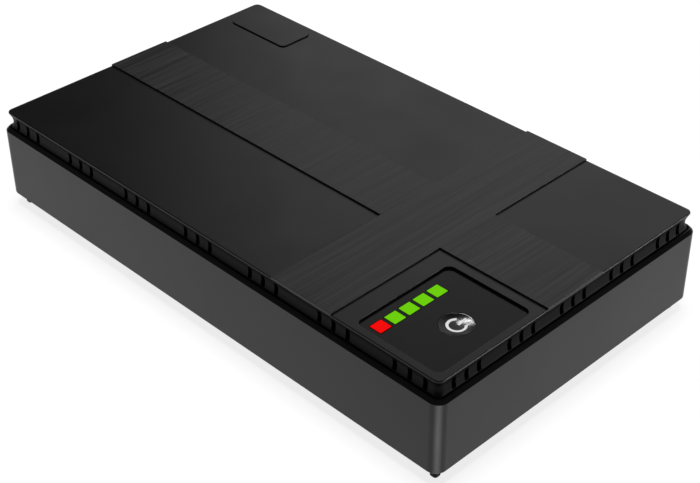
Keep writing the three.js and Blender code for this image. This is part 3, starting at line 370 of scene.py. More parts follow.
# ---------------------------------------------------------------------------------------------------
# Materials
# ---------------------------------------------------------------------------------------------------
class Surface:
    """A node material on one Principled shader, with helpers that add detail to its inputs."""

    def __init__(self, name, ior=1.5, metallic=0.0, specular=0.5):
        self.material = bpy.data.materials.new(name)
        self.material.use_nodes = True
        self.nodes = self.material.node_tree.nodes
        self.links = self.material.node_tree.links
        self.shader = self.nodes["Principled BSDF"]
        self.shader.inputs["IOR"].default_value = ior
        self.shader.inputs["Metallic"].default_value = metallic
        self.shader.inputs["Specular IOR Level"].default_value = specular
        self.place = self.nodes.new("ShaderNodeTexCoord").outputs["Object"]

    def link(self, source, socket):
        self.links.new(source, socket)

    def noise(self, size, detail=2.0, stretch=(1, 1, 1), roughness=0.5):
        """Noise whose blobs are about size across, drawn out along each axis by stretch."""
        mapping = self.nodes.new("ShaderNodeMapping")
        mapping.inputs["Scale"].default_value = [1 / (size * s) for s in stretch]
        self.link(self.place, mapping.inputs["Vector"])
        texture = self.nodes.new("ShaderNodeTexNoise")
        texture.inputs["Scale"].default_value = 1
        texture.inputs["Detail"].default_value = detail
        texture.inputs["Roughness"].default_value = roughness
        self.link(mapping.outputs["Vector"], texture.inputs["Vector"])
        return texture.outputs["Fac"]

    def cells(self, size, feature="F1"):
        """Voronoi cells about size across."""
        mapping = self.nodes.new("ShaderNodeMapping")
        mapping.inputs["Scale"].default_value = [1 / size] * 3
        self.link(self.place, mapping.inputs["Vector"])
        texture = self.nodes.new("ShaderNodeTexVoronoi")
        texture.feature = feature
        texture.inputs["Scale"].default_value = 1
        self.link(mapping.outputs["Vector"], texture.inputs["Vector"])
        return texture.outputs["Distance"]

    def spread(self, source, low, high, start=0.3, end=0.7):
        """Maps a texture's range start..end onto low..high."""
        node = self.nodes.new("ShaderNodeMapRange")
        for key, value in (("From Min", start), ("From Max", end), ("To Min", low), ("To Max", high)):
            node.inputs[key].default_value = value
        self.link(source, node.inputs["Value"])
        return node.outputs["Result"]

    def math(self, operation, first, second):
        node = self.nodes.new("ShaderNodeMath")
        node.operation = operation
        for socket, value in zip(node.inputs, (first, second)):
            if isinstance(value, (int, float)):
                socket.default_value = value
            else:
                self.link(value, socket)
        return node.outputs["Value"]

    def blend(self, factor, first, second):
        """A colour between two colours."""
        node = self.nodes.new("ShaderNodeMix")
        node.data_type = "RGBA"
        self.link(factor, node.inputs["Factor"])
        colours = [socket for socket in node.inputs if socket.type == "RGBA"]
        for socket, value in zip(colours, (first, second)):
            if isinstance(value, (tuple, list)):
                socket.default_value = (*value, 1)
            else:
                self.link(value, socket)
        return next(socket for socket in node.outputs if socket.type == "RGBA")

    def edges(self, radius):
        """Near 1 along edges that are sharper than radius, and 0 on open faces."""
        bevel = self.nodes.new("ShaderNodeBevel")
        bevel.samples = 4
        bevel.inputs["Radius"].default_value = radius
        geometry = self.nodes.new("ShaderNodeNewGeometry")
        dot = self.nodes.new("ShaderNodeVectorMath")
        dot.operation = "DOT_PRODUCT"
        self.link(bevel.outputs["Normal"], dot.inputs[0])
        self.link(geometry.outputs["Normal"], dot.inputs[1])
        return self.spread(dot.outputs["Value"], 1, 0, 0.75, 0.99)

    def colour(self, socket):
        self.link(socket, self.shader.inputs["Base Color"])

    def roughness(self, socket):
        self.link(socket, self.shader.inputs["Roughness"])

    def bump(self, height, depth, strength=1.0):
        """Bump from a 0 to 1 height field that is depth deep."""
        node = self.nodes.new("ShaderNodeBump")
        node.inputs["Strength"].default_value = strength
        node.inputs["Distance"].default_value = depth
        self.link(height, node.inputs["Height"])
        self.link(node.outputs["Normal"], self.shader.inputs["Normal"])


def scaled(colour, factor, lift=0.0):
    """A colour made lighter or darker by a factor and lifted by an amount, with no part over 1."""
    return tuple(min(part * factor + lift, 1) for part in colour)


def moulded_plastic(
    name, colour, roughness, grain=0.25 * MM, depth=0.004 * MM, wear=0.0, shift=0.2, specular=0.5
):  # fmt: skip
    """Moulded plastic with a spark-eroded grain, faint flow marks and, where asked, polished edges."""
    made = Surface(name, ior=1.32, specular=specular)
    flow = made.noise(18 * MM, 3)
    speckle = made.noise(grain, 2)
    tone = made.blend(made.spread(flow, 0, 1), scaled(colour, 1 - shift), scaled(colour, 1 + shift))
    rough = made.math(
        "ADD",
        made.spread(flow, roughness - 0.03, roughness + 0.03),
        made.spread(speckle, -0.03, 0.03),
    )
    if wear:
        edge = made.edges(0.25 * MM)
        tone = made.blend(made.math("MULTIPLY", edge, wear), tone, scaled(colour, 2, 0.008))
        rough = made.math("SUBTRACT", rough, made.math("MULTIPLY", edge, 0.06))
    made.colour(tone)
    made.roughness(rough)
    made.bump(speckle, depth)
    return made.material


def brushed_band(name, colour):
    """Black plastic brushed across the case: long fine scratches along Y."""
    made = Surface(name, ior=1.37, specular=0.32)
    fine = made.noise(0.3 * MM, 2, (1, 120, 1))
    broad = made.noise(0.9 * MM, 2, (1, 45, 1))
    streak = made.math("ADD", made.math("MULTIPLY", fine, 0.5), made.math("MULTIPLY", broad, 0.5))
    made.colour(made.blend(made.spread(streak, 0, 1, 0.36, 0.66), colour, scaled(colour, 1, 0.022)))
    made.roughness(made.spread(streak, 0.28, 0.42, 0.36, 0.66))
    made.bump(streak, 0.003 * MM)
    return made.material


def lit_lens(name, colour, strength):
    """A lit lens: a diffusing plastic with a fine prism grid and a slightly uneven glow."""
    made = Surface(name, ior=1.48, specular=0.05)
    made.shader.inputs["Base Color"].default_value = (*scaled(colour, 0.25), 1)
    made.shader.inputs["Emission Strength"].default_value = strength
    glow = made.noise(2.2 * MM, 1)
    prisms = made.cells(0.35 * MM)
    tone = made.blend(made.spread(glow, 0, 1), scaled(colour, 0.95), colour)
    tone = made.blend(made.spread(prisms, 0, 0.12, 0.2, 0.9), tone, scaled(colour, 0.85))
    made.link(tone, made.shader.inputs["Emission Color"])
    made.bump(prisms, 0.01 * MM)
    return made.material


def plated_metal(name, colour, roughness, stretch=(1, 1, 12), grain=0.25 * MM):
    """Plated metal with fine drawn streaks and a slightly cloudy finish."""
    made = Surface(name, metallic=1.0)
    streak = made.noise(grain, 3, stretch)
    cloud = made.noise(3 * MM, 2)
    made.colour(made.blend(made.spread(cloud, 0, 1), scaled(colour, 0.82), colour))
    streaked = made.spread(streak, roughness - 0.08, roughness + 0.1)
    made.roughness(made.math("ADD", streaked, made.spread(cloud, -0.03, 0.05)))
    made.bump(streak, 0.004 * MM)
    return made.material


def circuit_board(name, colour):
    """Green solder mask over copper: tracks show as slightly lighter lines, over a fine glass weave."""
    made = Surface(name, ior=1.5)
    tracks = made.cells(3.2 * MM, "DISTANCE_TO_EDGE")
    weave = made.noise(0.5 * MM, 1)
    lines = made.spread(tracks, 1, 0, 0.05, 0.09)
    tone = made.blend(lines, colour, scaled(colour, 1.9, 0.01))
    made.colour(made.blend(made.spread(weave, 0, 0.25), tone, (0.02, 0.05, 0.02)))
    made.roughness(made.spread(weave, 0.28, 0.42))
    made.bump(lines, 0.03 * MM, 0.6)
    return made.material


def shrink_sleeve(name, colour):
    """Heat-shrunk sleeve with shallow wrinkles along the cell."""
    made = Surface(name, ior=1.5)
    wrinkle = made.noise(1.6 * MM, 3, (1, 9, 1))
    print_fade = made.noise(7 * MM, 2)
    made.colour(made.blend(made.spread(print_fade, 0, 1), scaled(colour, 0.75), colour))
    made.roughness(made.spread(wrinkle, 0.22, 0.4))
    made.bump(wrinkle, 0.06 * MM)
    return made.material


def ferrite(name, colour):
    """Pressed ferrite: dull, speckled and pitted. The speckle is its own grain, and its darkening in the
    pits, where the bump sinks, is painted shade.
    """
    made = Surface(name, ior=1.6)
    speckle = made.cells(0.35 * MM)
    patch = made.noise(2.5 * MM, 3)
    # Grain with painted shade: the speckle is darkest in each pit, where the bump sinks.
    tone = made.blend(made.spread(speckle, 0, 1, 0.1, 0.8), scaled(colour, 0.7), scaled(colour, 1.5))
    made.colour(made.blend(made.spread(patch, 0, 0.4), tone, scaled(colour, 0.6)))
    made.roughness(made.spread(patch, 0.55, 0.75))
    made.bump(speckle, 0.05 * MM)
    return made.material


def open_foam(name, colour):
    """Open-cell foam, with each pore painted darker towards its middle, where the bump sinks: painted shade.
    """
    made = Surface(name, ior=1.4)
    bubbles = made.cells(0.45 * MM)
    # Painted shade: each pore is darkest at its middle, where the bump is lowest.
    made.colour(made.blend(made.spread(bubbles, 0, 1, 0.1, 0.8), scaled(colour, 0.3), scaled(colour, 1.6)))
    made.roughness(made.spread(bubbles, 0.8, 0.98, 0.1, 0.8))
    made.bump(bubbles, 0.2 * MM)
    return made.material


def ribbon_cable(name, colour, across=1.27 * MM):
    """Flat cable: rounded cores side by side across X, with painted shade darkening the grooves between
    them.
    """
    made = Surface(name, ior=1.5)
    wave = made.nodes.new("ShaderNodeTexWave")
    wave.wave_type = "BANDS"
    wave.bands_direction = "X"
    wave.inputs["Scale"].default_value = math.pi / (10 * across)
    made.link(made.place, wave.inputs["Vector"])
    cores = wave.outputs["Fac"]
    dirt = made.noise(4 * MM, 2)
    # Painted shade: the colour darkens in the grooves between the cores, where the bump sinks.
    tone = made.blend(made.spread(cores, 0, 1, 0, 0.5), scaled(colour, 0.55), colour)
    made.colour(made.blend(made.spread(dirt, 0, 0.2), tone, scaled(colour, 0.7)))
    made.roughness(made.spread(dirt, 0.38, 0.5))
    made.bump(cores, 0.25 * MM)
    return made.material


slot_colours = {row["slot"]: tuple(row["base_color"]) for row in frame["record"]["materials"]}
BLACK_CASE = (0.0028, 0.0028, 0.003)
BLACK_PANEL = (0.0018, 0.0018, 0.002)
BLACK_RUBBER = (0.003, 0.003, 0.003)
BLACK_SOCKET = (0.005, 0.005, 0.005)
PRINTED_WHITE = (0.68, 0.68, 0.68)
LIT_RED = (0.90, 0.0008, 0.0)
LIT_GREEN = (0.152, 0.63, 0.0006)
LIGHT_STRENGTH = 0.74

looks = {
    "shell": moulded_plastic("satin_black", BLACK_CASE, 0.33, wear=0.3),
    # The recess look is the case's black with a rougher finish and a weak reflection; the weak reflection is
    # painted shade that keeps the neck under the lid dark.
    "recess": moulded_plastic("matt_painted_shade", BLACK_CASE, 0.38, depth=0.006 * MM, specular=0.12),
    "band": brushed_band("brushed_black", BLACK_CASE),
    "panel": moulded_plastic(
        "smooth_black", BLACK_PANEL, 0.2, grain=0.9 * MM, depth=0.0008 * MM, wear=0.3, specular=0.22
    ),
    "button": moulded_plastic(
        "gloss_black", BLACK_PANEL, 0.16, grain=1.2 * MM, depth=0.0002 * MM, specular=0.3
    ),
    "symbol": moulded_plastic(
        "white_print", PRINTED_WHITE, 0.3, grain=0.12 * MM, depth=0.001 * MM, shift=0.04
    ),
    "red_light": lit_lens("red_lens", LIT_RED, LIGHT_STRENGTH),
    "green_light": lit_lens("green_lens", LIT_GREEN, LIGHT_STRENGTH),
    "rubber": moulded_plastic("matt_black", BLACK_RUBBER, 0.55, depth=0.01 * MM, specular=0.2),
    "screw": plated_metal("zinc_plate", slot_colours["screw"], 0.3),
    "socket_plastic": moulded_plastic("socket_black", BLACK_SOCKET, 0.4, wear=0.3),
    "socket_metal": plated_metal("nickel_plate", slot_colours["socket_metal"], 0.22),
    "contact": plated_metal("gold_plate", slot_colours["contact"], 0.2, grain=0.1 * MM),
    "white_plastic": moulded_plastic("natural_nylon", slot_colours["white_plastic"], 0.42, shift=0.08),
    "cell_wrap": shrink_sleeve("blue_sleeve", slot_colours["cell_wrap"]),
    "nickel": plated_metal("nickel_strip", slot_colours["nickel"], 0.32, (12, 1, 1)),
    "holder": moulded_plastic("holder_black", slot_colours["holder"], 0.55, depth=0.01 * MM),
    "board": circuit_board("green_board", slot_colours["board"]),
    "ferrite": ferrite("ferrite_grey", slot_colours["ferrite"]),
    "aluminium": plated_metal("extruded_aluminium", slot_colours["aluminium"], 0.34, (12, 1, 1)),
    "chip": moulded_plastic("chip_black", slot_colours["chip"], 0.5, grain=0.15 * MM),
    "red_wire": moulded_plastic("red_insulation", slot_colours["red_wire"], 0.38),
    "black_wire": moulded_plastic("black_insulation", slot_colours["black_wire"], 0.38),
    "ribbon": ribbon_cable("grey_ribbon", slot_colours["ribbon"]),
    "foam": open_foam("black_foam", slot_colours["foam"]),
}


# ---------------------------------------------------------------------------------------------------
# Bottom shell
# ---------------------------------------------------------------------------------------------------
def shell_cup():
    """The open box: up the outside, over the chamfered rim, and down the inside."""
    profile = []
    for inset, drop in quarter_round(0, 0, UNDERSIDE_ROUND):
        profile.insert(0, (inset, underside - drop))
    chamfer_foot = rim - RIM_CHAMFER
    profile += [
        (0, chamfer_foot - RIM_EDGE_ROUND),
        (RIM_EDGE_ROUND / 3, chamfer_foot),
        (RIM_EDGE_ROUND, chamfer_foot + RIM_EDGE_ROUND),
        (RIM_CHAMFER - RIM_EDGE_ROUND, rim - RIM_EDGE_ROUND),
        (RIM_CHAMFER, rim - RIM_EDGE_ROUND / 3),
        (RIM_CHAMFER + RIM_EDGE_ROUND, rim),
        (RIM_CHAMFER + RIM_LAND - RIM_EDGE_ROUND, rim),
        (RIM_CHAMFER + RIM_LAND, rim - RIM_EDGE_ROUND),
        (RIM_CHAMFER + RIM_LAND, ledge),
        (SHELL_WALL, ledge),
        (SHELL_WALL, floor_top),
    ]
    return skin([body_ring(inset, height) for inset, height in profile])


def window(node):
    """A cutter for the hole in the back wall in front of a socket, with a flared mouth."""
    low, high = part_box(node)
    half_x = (high.x - low.x) / 2 + GAP
    half_z = (high.z - low.z) / 2 + GAP
    middle_x = (low.x + high.x) / 2
    middle_z = (low.z + high.z) / 2
    rings = []
    stations = (
        (half_width - SHELL_WALL - CUT_BEYOND, 0),
        (half_width - WINDOW_FLARE, 0),
        (half_width, WINDOW_FLARE),
        (half_width + CUT_BEYOND, WINDOW_FLARE),
    )
    for y, grow in stations:
        corner = WINDOW_CORNER_RADIUS + grow
        outline = rounded_outline(half_x + grow, half_z + grow, corner, WINDOW_CORNER_STEPS)
        rings.append([Vector((middle_x + u, y, middle_z + v)) for u, v in outline])
    return skin(rings)


def screw_places():
    x = half_length - SCREW_INSET
    y = half_width - SCREW_INSET
    return [(-x, -y), (x, -y), (x, y), (-x, y)]


SOCKETS = ["dc_inlet", "dc_outlet_1", "dc_outlet_2", "usb_shell", "data_jack_1", "data_jack_2"]
CORNERS = ["front_left", "front_right", "back_right", "back_left"]


def make_shell():
    shell = new_object("case_shell", shell_cup())
    boss_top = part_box("top_cover")[0].z
    bosses = [post(x, y, SCREW_BOSS_RADIUS, floor_top - CUT_BEYOND, boss_top) for x, y in screw_places()]
    combine(shell, bosses, "UNION")
    cutters = [window(node) for node in SOCKETS]
    for x, y in screw_places():
        head_hole = post(x, y, SCREW_HEAD_RADIUS + GAP, underside - CUT_BEYOND, underside + SCREW_SEAT)
        cutters.append(head_hole)
    combine(shell, cutters, "DIFFERENCE")
    shanks = [post(x, y, SCREW_HOLE_RADIUS, underside, boss_top + CUT_BEYOND) for x, y in screw_places()]
    combine(shell, shanks, "DIFFERENCE")
    settle(shell, "bottom_shell", looks["shell"])


# ---------------------------------------------------------------------------------------------------
# Top cover
# ---------------------------------------------------------------------------------------------------
def neck_pairs(steps=14):
    """(inset, height, corner radius) from the neck's foot up its hollow curve to the lid's edge."""
    foot = Vector((NECK_INSET, rim))
    head = Vector((lid_inset, lid_top - LID_EDGE_HEIGHT))
    pull = Vector(((foot.x + head.x) / 2 + 2 * NECK_HOLLOW, rim + NECK_HOLLOW_HEIGHT))
    pairs = []
    for step in range(steps + 1):
        t = step / steps
        place = foot * (1 - t) ** 2 + pull * (2 * t * (1 - t)) + head * t**2
        hollow = math.sin(math.pi * t)
        flat = CORNER_RADIUS - lid_inset
        pairs.append((place.x, place.y, flat + (NECK_CORNER_RADIUS - flat) * hollow))
    return pairs


def band_ring(inset, height):
    """The outline of the two crossing bands, drawn in by inset."""
    end_x = half_length - lid_inset - inset
    end_y = half_width - lid_inset - inset
    side = BAND_WIDTH / 2 - inset
    right = half_length - lid_inset - CROSS_BAND_INSET - inset
    left = right - BAND_WIDTH + 2 * inset
    outline = [
        (end_x, side), (right, side), (right, end_y), (left, end_y), (left, side), (-end_x, side),
        (-end_x, -side), (left, -side), (left, -end_y), (right, -end_y), (right, -side), (end_x, -side),
    ]  # fmt: skip
    return level(outline, height)


def side_slots(span, side):
    """Places of the slots along one side of the cover."""
    groups = int((span / 2 - SLOT_END_MARGIN) // side["group_pitch"])
    middle = (SLOTS_PER_GROUP - 1) / 2
    return [
        group * side["group_pitch"] + (slot - middle) * side["slot_pitch"]
        for group in range(-groups, groups + 1)
        for slot in range(SLOTS_PER_GROUP)
    ]


def slot_cutter(along, outer, inner, across_x):
    """A slot through the neck's wall, with its corners rounded."""
    middle = rim + SLOT_RISE + SLOT_HEIGHT / 2
    outline = rounded_outline(SLOT_WIDTH / 2, SLOT_HEIGHT / 2, SLOT_END_RADIUS, SLOT_CORNER_STEPS)
    rings = []
    for depth in (outer, inner):
        if across_x:
            rings.append([Vector((depth, along + u, middle + v)) for u, v in outline])
        else:
            rings.append([Vector((along + u, depth, middle + v)) for u, v in outline])
    return skin(rings)


def slot_cutters():
    cutters = []
    lid_length = 2 * (half_length - lid_inset)
    lid_width = 2 * (half_width - lid_inset)
    for sign in (-1, 1):
        for along in side_slots(lid_length, LONG_SIDE):
            outer = sign * (half_width - lid_inset)
            inner = sign * (half_width - cavity_inset - CUT_BEYOND)
            cutters.append(slot_cutter(along, outer, inner, False))
        for along in side_slots(lid_width, SHORT_SIDE):
            outer = sign * (half_length - lid_inset)
            inner = sign * (half_length - cavity_inset - CUT_BEYOND)
            cutters.append(slot_cutter(along, outer, inner, True))
    return cutters


def panel_cutters():
    """The panel's sunk seat, and the openings in its bed for the lights and the button."""
    seam = Vector((PANEL_SEAM, PANEL_SEAM, 0))
    low = Vector((panel_low.x, panel_low.y, panel_low.z - GAP)) - seam
    high = Vector((panel_high.x, panel_high.y, lid_top)) + seam
    seat = recess(low, high, PANEL_CORNER_RADIUS, RECESS_EDGE_ROUND, lid_top + CUT_BEYOND)
    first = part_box("light_red")[0]
    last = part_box("light_green_4")[1]
    foot = low.z - PANEL_BED_THICKNESS - CUT_BEYOND
    top = low.z + BED_CUT_BEYOND
    lights = box_solid((first.x - GAP, first.y - GAP, foot), (last.x + GAP, last.y + GAP, top))
    hole = post(key_axis.x, key_axis.y, BUTTON_RADIUS + GAP, foot, top, HOLE_STEPS)
    return seat, [lights, hole]


COVER_LOOKS = ["shell", "band", "recess"]


def make_cover():
    rings = [body_ring(NECK_INSET, skirt_foot)]
    rings += [body_ring(inset, height, radius) for inset, height, radius in neck_pairs()]
    for inset, height in quarter_round(lid_inset, lid_top, LID_EDGE_ROUND):
        rings.append(body_ring(inset, height, CORNER_RADIUS - inset))
    cover = new_object("case_cover", skin(rings))

    lip_inset = SHELL_WALL + GAP
    lip = skin([body_ring(lip_inset, skirt_foot - LIP_DEPTH), body_ring(lip_inset, skirt_foot + JOIN)])
    combine(cover, [lip], "UNION")
    cavity_foot = cover_low.z - CUT_BEYOND
    cavity = skin([body_ring(cavity_inset, cavity_foot), body_ring(cavity_inset, lid_underside)])
    combine(cover, [cavity], "DIFFERENCE")

    seat_foot = panel_low.z - GAP
    bed_margin = Vector((PANEL_BED_MARGIN, PANEL_BED_MARGIN, 0))
    bed_low = panel_low - bed_margin
    bed_high = panel_high + bed_margin
    bed_front = max(bed_low.y, -half_width + cavity_inset - JOIN)
    bed_right = min(bed_high.x, half_length - cavity_inset + JOIN)
    bed = rounded_plate(
        Vector((bed_low.x, bed_front, seat_foot - PANEL_BED_THICKNESS)),
        Vector((bed_right, bed_high.y, lid_underside + JOIN)),
        PANEL_CORNER_RADIUS,
        PANEL_BED_EDGE_ROUND,
    )
    foot = cover_low.z
    posts = [post(x, y, COVER_POST_RADIUS, foot, lid_underside + JOIN) for x, y in screw_places()]
    combine(cover, [bed], "UNION")
    combine(cover, posts, "UNION")

    band_rings = [band_ring(0, lid_top - JOIN)]
    band_rings += [band_ring(inset, z) for inset, z in quarter_round(0, cover_high.z, BAND_EDGE_ROUND)]
    combine(cover, [skin(band_rings)], "UNION")

    seat, openings = panel_cutters()
    seam = Vector((SEAM, SEAM, 0))
    badge_seat = recess(
        Vector((badge_low.x, badge_low.y, badge_low.z - GAP)) - seam,
        Vector((badge_high.x, badge_high.y, lid_top)) + seam,
        BADGE_CORNER_RADIUS + SEAM,
        RECESS_EDGE_ROUND / 3,
        lid_top + CUT_BEYOND,
    )
    combine(cover, [seat, badge_seat], "DIFFERENCE")
    combine(cover, openings, "DIFFERENCE")
    combine(cover, slot_cutters(), "DIFFERENCE")

    for look in COVER_LOOKS:
        cover.data.materials.append(looks[look])
    for polygon in cover.data.polygons:
        if polygon.center.z > cover_high.z - BAND_EDGE_ROUND:
            polygon.material_index = COVER_LOOKS.index("band")
        # Faces below the lid's edge take the recess look: the neck, where its weak reflection is painted
        # shade, and the hollows inside.
        elif polygon.center.z < lid_top - LID_EDGE_HEIGHT:
            polygon.material_index = COVER_LOOKS.index("recess")
    settle(cover, "top_cover", looks["shell"])


# ---------------------------------------------------------------------------------------------------
# Panel, lights, badge, feet
# ---------------------------------------------------------------------------------------------------
LIGHTS = ["light_red", "light_green_1", "light_green_2", "light_green_3", "light_green_4"]
FACES_UP = 0.5  # least upward part of the normal of a lens's lit face


def make_panel():
    panel = new_object(
        "panel_overlay",
        rounded_plate(panel_low, panel_high, PANEL_CORNER_RADIUS - PANEL_SEAM, PLATE_EDGE_ROUND / 2),
    )
    foot = panel_low.z - CUT_BEYOND
    top = panel_high.z + CUT_BEYOND
    cutters = []
    for node in LIGHTS:
        low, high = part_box(node)
        cutters.append(
            box_solid(
                (low.x - SEAM, low.y - SEAM, foot),
                (high.x + SEAM, high.y + SEAM, top),
            )
        )
    cutters.append(post(key_axis.x, key_axis.y, BUTTON_RADIUS + BUTTON_SEAM, foot, top, LATHE_STEPS))
    combine(panel, cutters, "DIFFERENCE")
    settle(panel, "control_overlay", looks["panel"])


def make_lights():
    """Lenses that glow on top, with dark sides."""
    for node in LIGHTS:
        low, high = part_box(node)
        solid = rounded_plate(low, high, LENS_CORNER_RADIUS, LENS_EDGE_ROUND)
        lens = new_object(node.replace("light", "lens"), solid)
        lens.data.materials.append(looks[slot_of[node]])
        lens.data.materials.append(looks["recess"])
        for polygon in lens.data.polygons:
            polygon.material_index = int(polygon.normal.z < FACES_UP)
        settle(lens, node, looks[slot_of[node]])


def make_badge():
    badge = new_object("badge", rounded_plate(badge_low, badge_high, BADGE_CORNER_RADIUS, PLATE_EDGE_ROUND))
    settle(badge, "badge_plate", looks["shell"])


def make_feet():
    """Short pegs with round corners, a soft lower edge and a slight taper."""
    for corner in CORNERS:
        low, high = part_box("foot_" + corner)
        middle = (low + high) / 2
        half = (high.x - low.x) / 2
        radius = FOOT_CORNER_RADIUS
        rings = []
        for inset, drop in reversed(quarter_round(FOOT_TAPER, 0, FOOT_EDGE_ROUND)):
            outline = rounded_outline(half - inset, half - inset, radius, SMALL_CORNER_STEPS)
            rings.append(level(outline, low.z - drop, middle))
        rings.append(level(rounded_outline(half, half, radius, SMALL_CORNER_STEPS), underside - GAP, middle))
        plug = rounded_outline(half - GAP, half - GAP, radius - GAP, SMALL_CORNER_STEPS)
        rings.append(level(plug, underside - GAP, middle))
        rings.append(level(plug, high.z, middle))
        peg = new_object("peg_" + corner, skin(rings))
        settle(peg, "foot_" + corner, looks["rubber"])


# ---------------------------------------------------------------------------------------------------
# Power button and its symbol
# ---------------------------------------------------------------------------------------------------
def dish_depth(radius):
    """How far the button's face lies below its edge at a distance from its axis."""
    share = min(radius / (BUTTON_RADIUS - BUTTON_RIM), 1)
    return BUTTON_DISH * (1 - share**2)


def make_button():
    top = key_high.z
    flange_top = key_low.z + BUTTON_FLANGE + GAP
    dish_radius = BUTTON_RADIUS - BUTTON_RIM
    profile = [(0, top - BUTTON_DISH)]
    for step in range(1, DISH_STEPS + 1):
        radius = dish_radius * step / DISH_STEPS
        profile.append((radius, top - dish_depth(radius)))
    for step in range(1, BUTTON_RIM_STEPS + 1):
        angle = step / BUTTON_RIM_STEPS * math.pi / 2
        radius = dish_radius + BUTTON_RIM * math.sin(angle)
        profile.append((radius, top - BUTTON_RIM * (1 - math.cos(angle))))
    flange_radius = BUTTON_RADIUS + BUTTON_FLANGE
    profile += [
        (BUTTON_RADIUS, flange_top),
        (flange_radius, flange_top),
        (flange_radius, flange_top - BUTTON_FLANGE),
        (BUTTON_STEM_RADIUS, flange_top - BUTTON_FLANGE),
        (BUTTON_STEM_RADIUS, key_low.z),
        (0, key_low.z),
    ]
    cap = new_object("button_cap", lathe(profile, key_axis))
    settle(cap, "power_button", looks["button"])


def printed_patch(grid):
    """A thin solid that follows the button's dish, over a grid of (x, y) rows from the button's axis."""
    solid = bmesh.new()
    sheets = []
    for lift in (-SYMBOL_THICKNESS, SYMBOL_RISE):
        rows = []
        for row in grid:
            verts = []
            for x, y in row:
                height = key_high.z - dish_depth(math.hypot(x, y)) + lift
                verts.append(solid.verts.new((key_axis.x + x, key_axis.y + y, height)))
            rows.append(verts)
        sheets.append(rows)
    bottom, top = sheets
    last_row = len(top) - 1
    last = len(top[0]) - 1
    for i in range(last_row):
        for j in range(last):
            solid.faces.new((top[i][j], top[i + 1][j], top[i + 1][j + 1], top[i][j + 1]))
            solid.faces.new((bottom[i][j], bottom[i][j + 1], bottom[i + 1][j + 1], bottom[i + 1][j]))
    for j in range(last):
        solid.faces.new((top[0][j], top[0][j + 1], bottom[0][j + 1], bottom[0][j]))
        far_top, far_bottom = top[last_row], bottom[last_row]
        solid.faces.new((far_top[j], far_bottom[j], far_bottom[j + 1], far_top[j + 1]))
    for i in range(last_row):
        solid.faces.new((top[i][0], bottom[i][0], bottom[i + 1][0], top[i + 1][0]))
        solid.faces.new((top[i][last], top[i + 1][last], bottom[i + 1][last], bottom[i][last]))
    bmesh.ops.recalc_face_normals(solid, faces=solid.faces)
    return solid


def make_symbol():
    start = math.pi / 2 + SYMBOL_OPENING
    sweep = 2 * math.pi - 2 * SYMBOL_OPENING
    ring_rows = []
    for step in range(SYMBOL_RING_STEPS + 1):
        angle = start + sweep * step / SYMBOL_RING_STEPS
        row = []
        for across in range(SYMBOL_ACROSS_STEPS + 1):
            share = across / SYMBOL_ACROSS_STEPS
            radius = SYMBOL_INNER_RADIUS + (SYMBOL_OUTER_RADIUS - SYMBOL_INNER_RADIUS) * share
            row.append((radius * math.cos(angle), radius * math.sin(angle)))
        ring_rows.append(row)
    ring = new_object("symbol_ring", printed_patch(ring_rows))
    settle(ring, "power_symbol_ring", looks["symbol"])

    stroke_rows = []
    for step in range(SYMBOL_BAR_STEPS + 1):
        y = SYMBOL_BAR_START + (SYMBOL_BAR_END - SYMBOL_BAR_START) * step / SYMBOL_BAR_STEPS
        places = [across / SYMBOL_ACROSS_STEPS - 0.5 for across in range(SYMBOL_ACROSS_STEPS + 1)]
        stroke_rows.append([(SYMBOL_BAR_WIDTH * place, y) for place in places])
    stroke = new_object("symbol_stroke", printed_patch(stroke_rows))
    settle(stroke, "power_symbol_stroke", looks["symbol"])


# ---------------------------------------------------------------------------------------------------
# Every other part: its CAD shape, with its edges broken
# ---------------------------------------------------------------------------------------------------
EDGE_WIDTHS = {
    "socket_metal": 0.08 * MM,
    "contact": 0.05 * MM,
    "nickel": 0.04 * MM,
    "foam": 0.3 * MM,
    "red_wire": 0.03 * MM,
    "black_wire": 0.03 * MM,
}
USUAL_EDGE_WIDTH = 0.12 * MM
FLAT_ANGLE = math.radians(1)
SHARP_ANGLE = math.radians(35)


def softened(node, width, segments=2):
    """A copy of a CAD node's mesh with its flat faces whole and its sharp edges rounded."""
    solid = bmesh.new()
    solid.from_mesh(frame["nodes"][node].data)
    bmesh.ops.remove_doubles(solid, verts=solid.verts, dist=MM / 1000)
    bmesh.ops.dissolve_limit(solid, angle_limit=FLAT_ANGLE, verts=solid.verts, edges=solid.edges)
    sharp = [e for e in solid.edges if e.is_manifold and e.calc_face_angle() > SHARP_ANGLE]
    bmesh.ops.bevel(
        solid, geom=sharp, offset=width, offset_type="OFFSET", segments=segments, profile=0.5,
        affect="EDGES", clamp_overlap=True,
    )  # fmt: skip
    return solid


def make_other_parts():
    replaced = {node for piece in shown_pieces() for node in piece.get("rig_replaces", [])}
    for node, slot in slot_of.items():
        if node not in replaced:
            width = EDGE_WIDTHS.get(slot, USUAL_EDGE_WIDTH)
            part = new_object(node + "_detailed", softened(node, width))
            settle(part, node, looks[slot])


# ---------------------------------------------------------------------------------------------------
# Floor, lights and camera
# ---------------------------------------------------------------------------------------------------
FLOOR_HALF = 4.0
FLOOR_GLOW = 0.82  # share of full white that the table gives off itself


def make_floor():
    """A white table that glows, so that the pegs and the gap under the case show."""
    corners = ((-1, -1), (1, -1), (1, 1), (-1, 1))
    outline = [(x * FLOOR_HALF, y * FLOOR_HALF) for x, y in corners]
    floor = bmesh.new()
    floor.faces.new([floor.verts.new((x, y, 0)) for x, y in outline])
    plane = new_object("floor", floor)
    table = Surface("light_table")
    tone = table.noise(0.4, 2)
    table.colour(table.blend(tone, (0.19, 0.19, 0.19), (0.21, 0.21, 0.21)))
    table.roughness(table.spread(tone, 0.8, 0.9))
    table.shader.inputs["Emission Color"].default_value = (1, 1, 1, 1)
    table.shader.inputs["Emission Strength"].default_value = FLOOR_GLOW
    plane.data.materials.append(table.material)


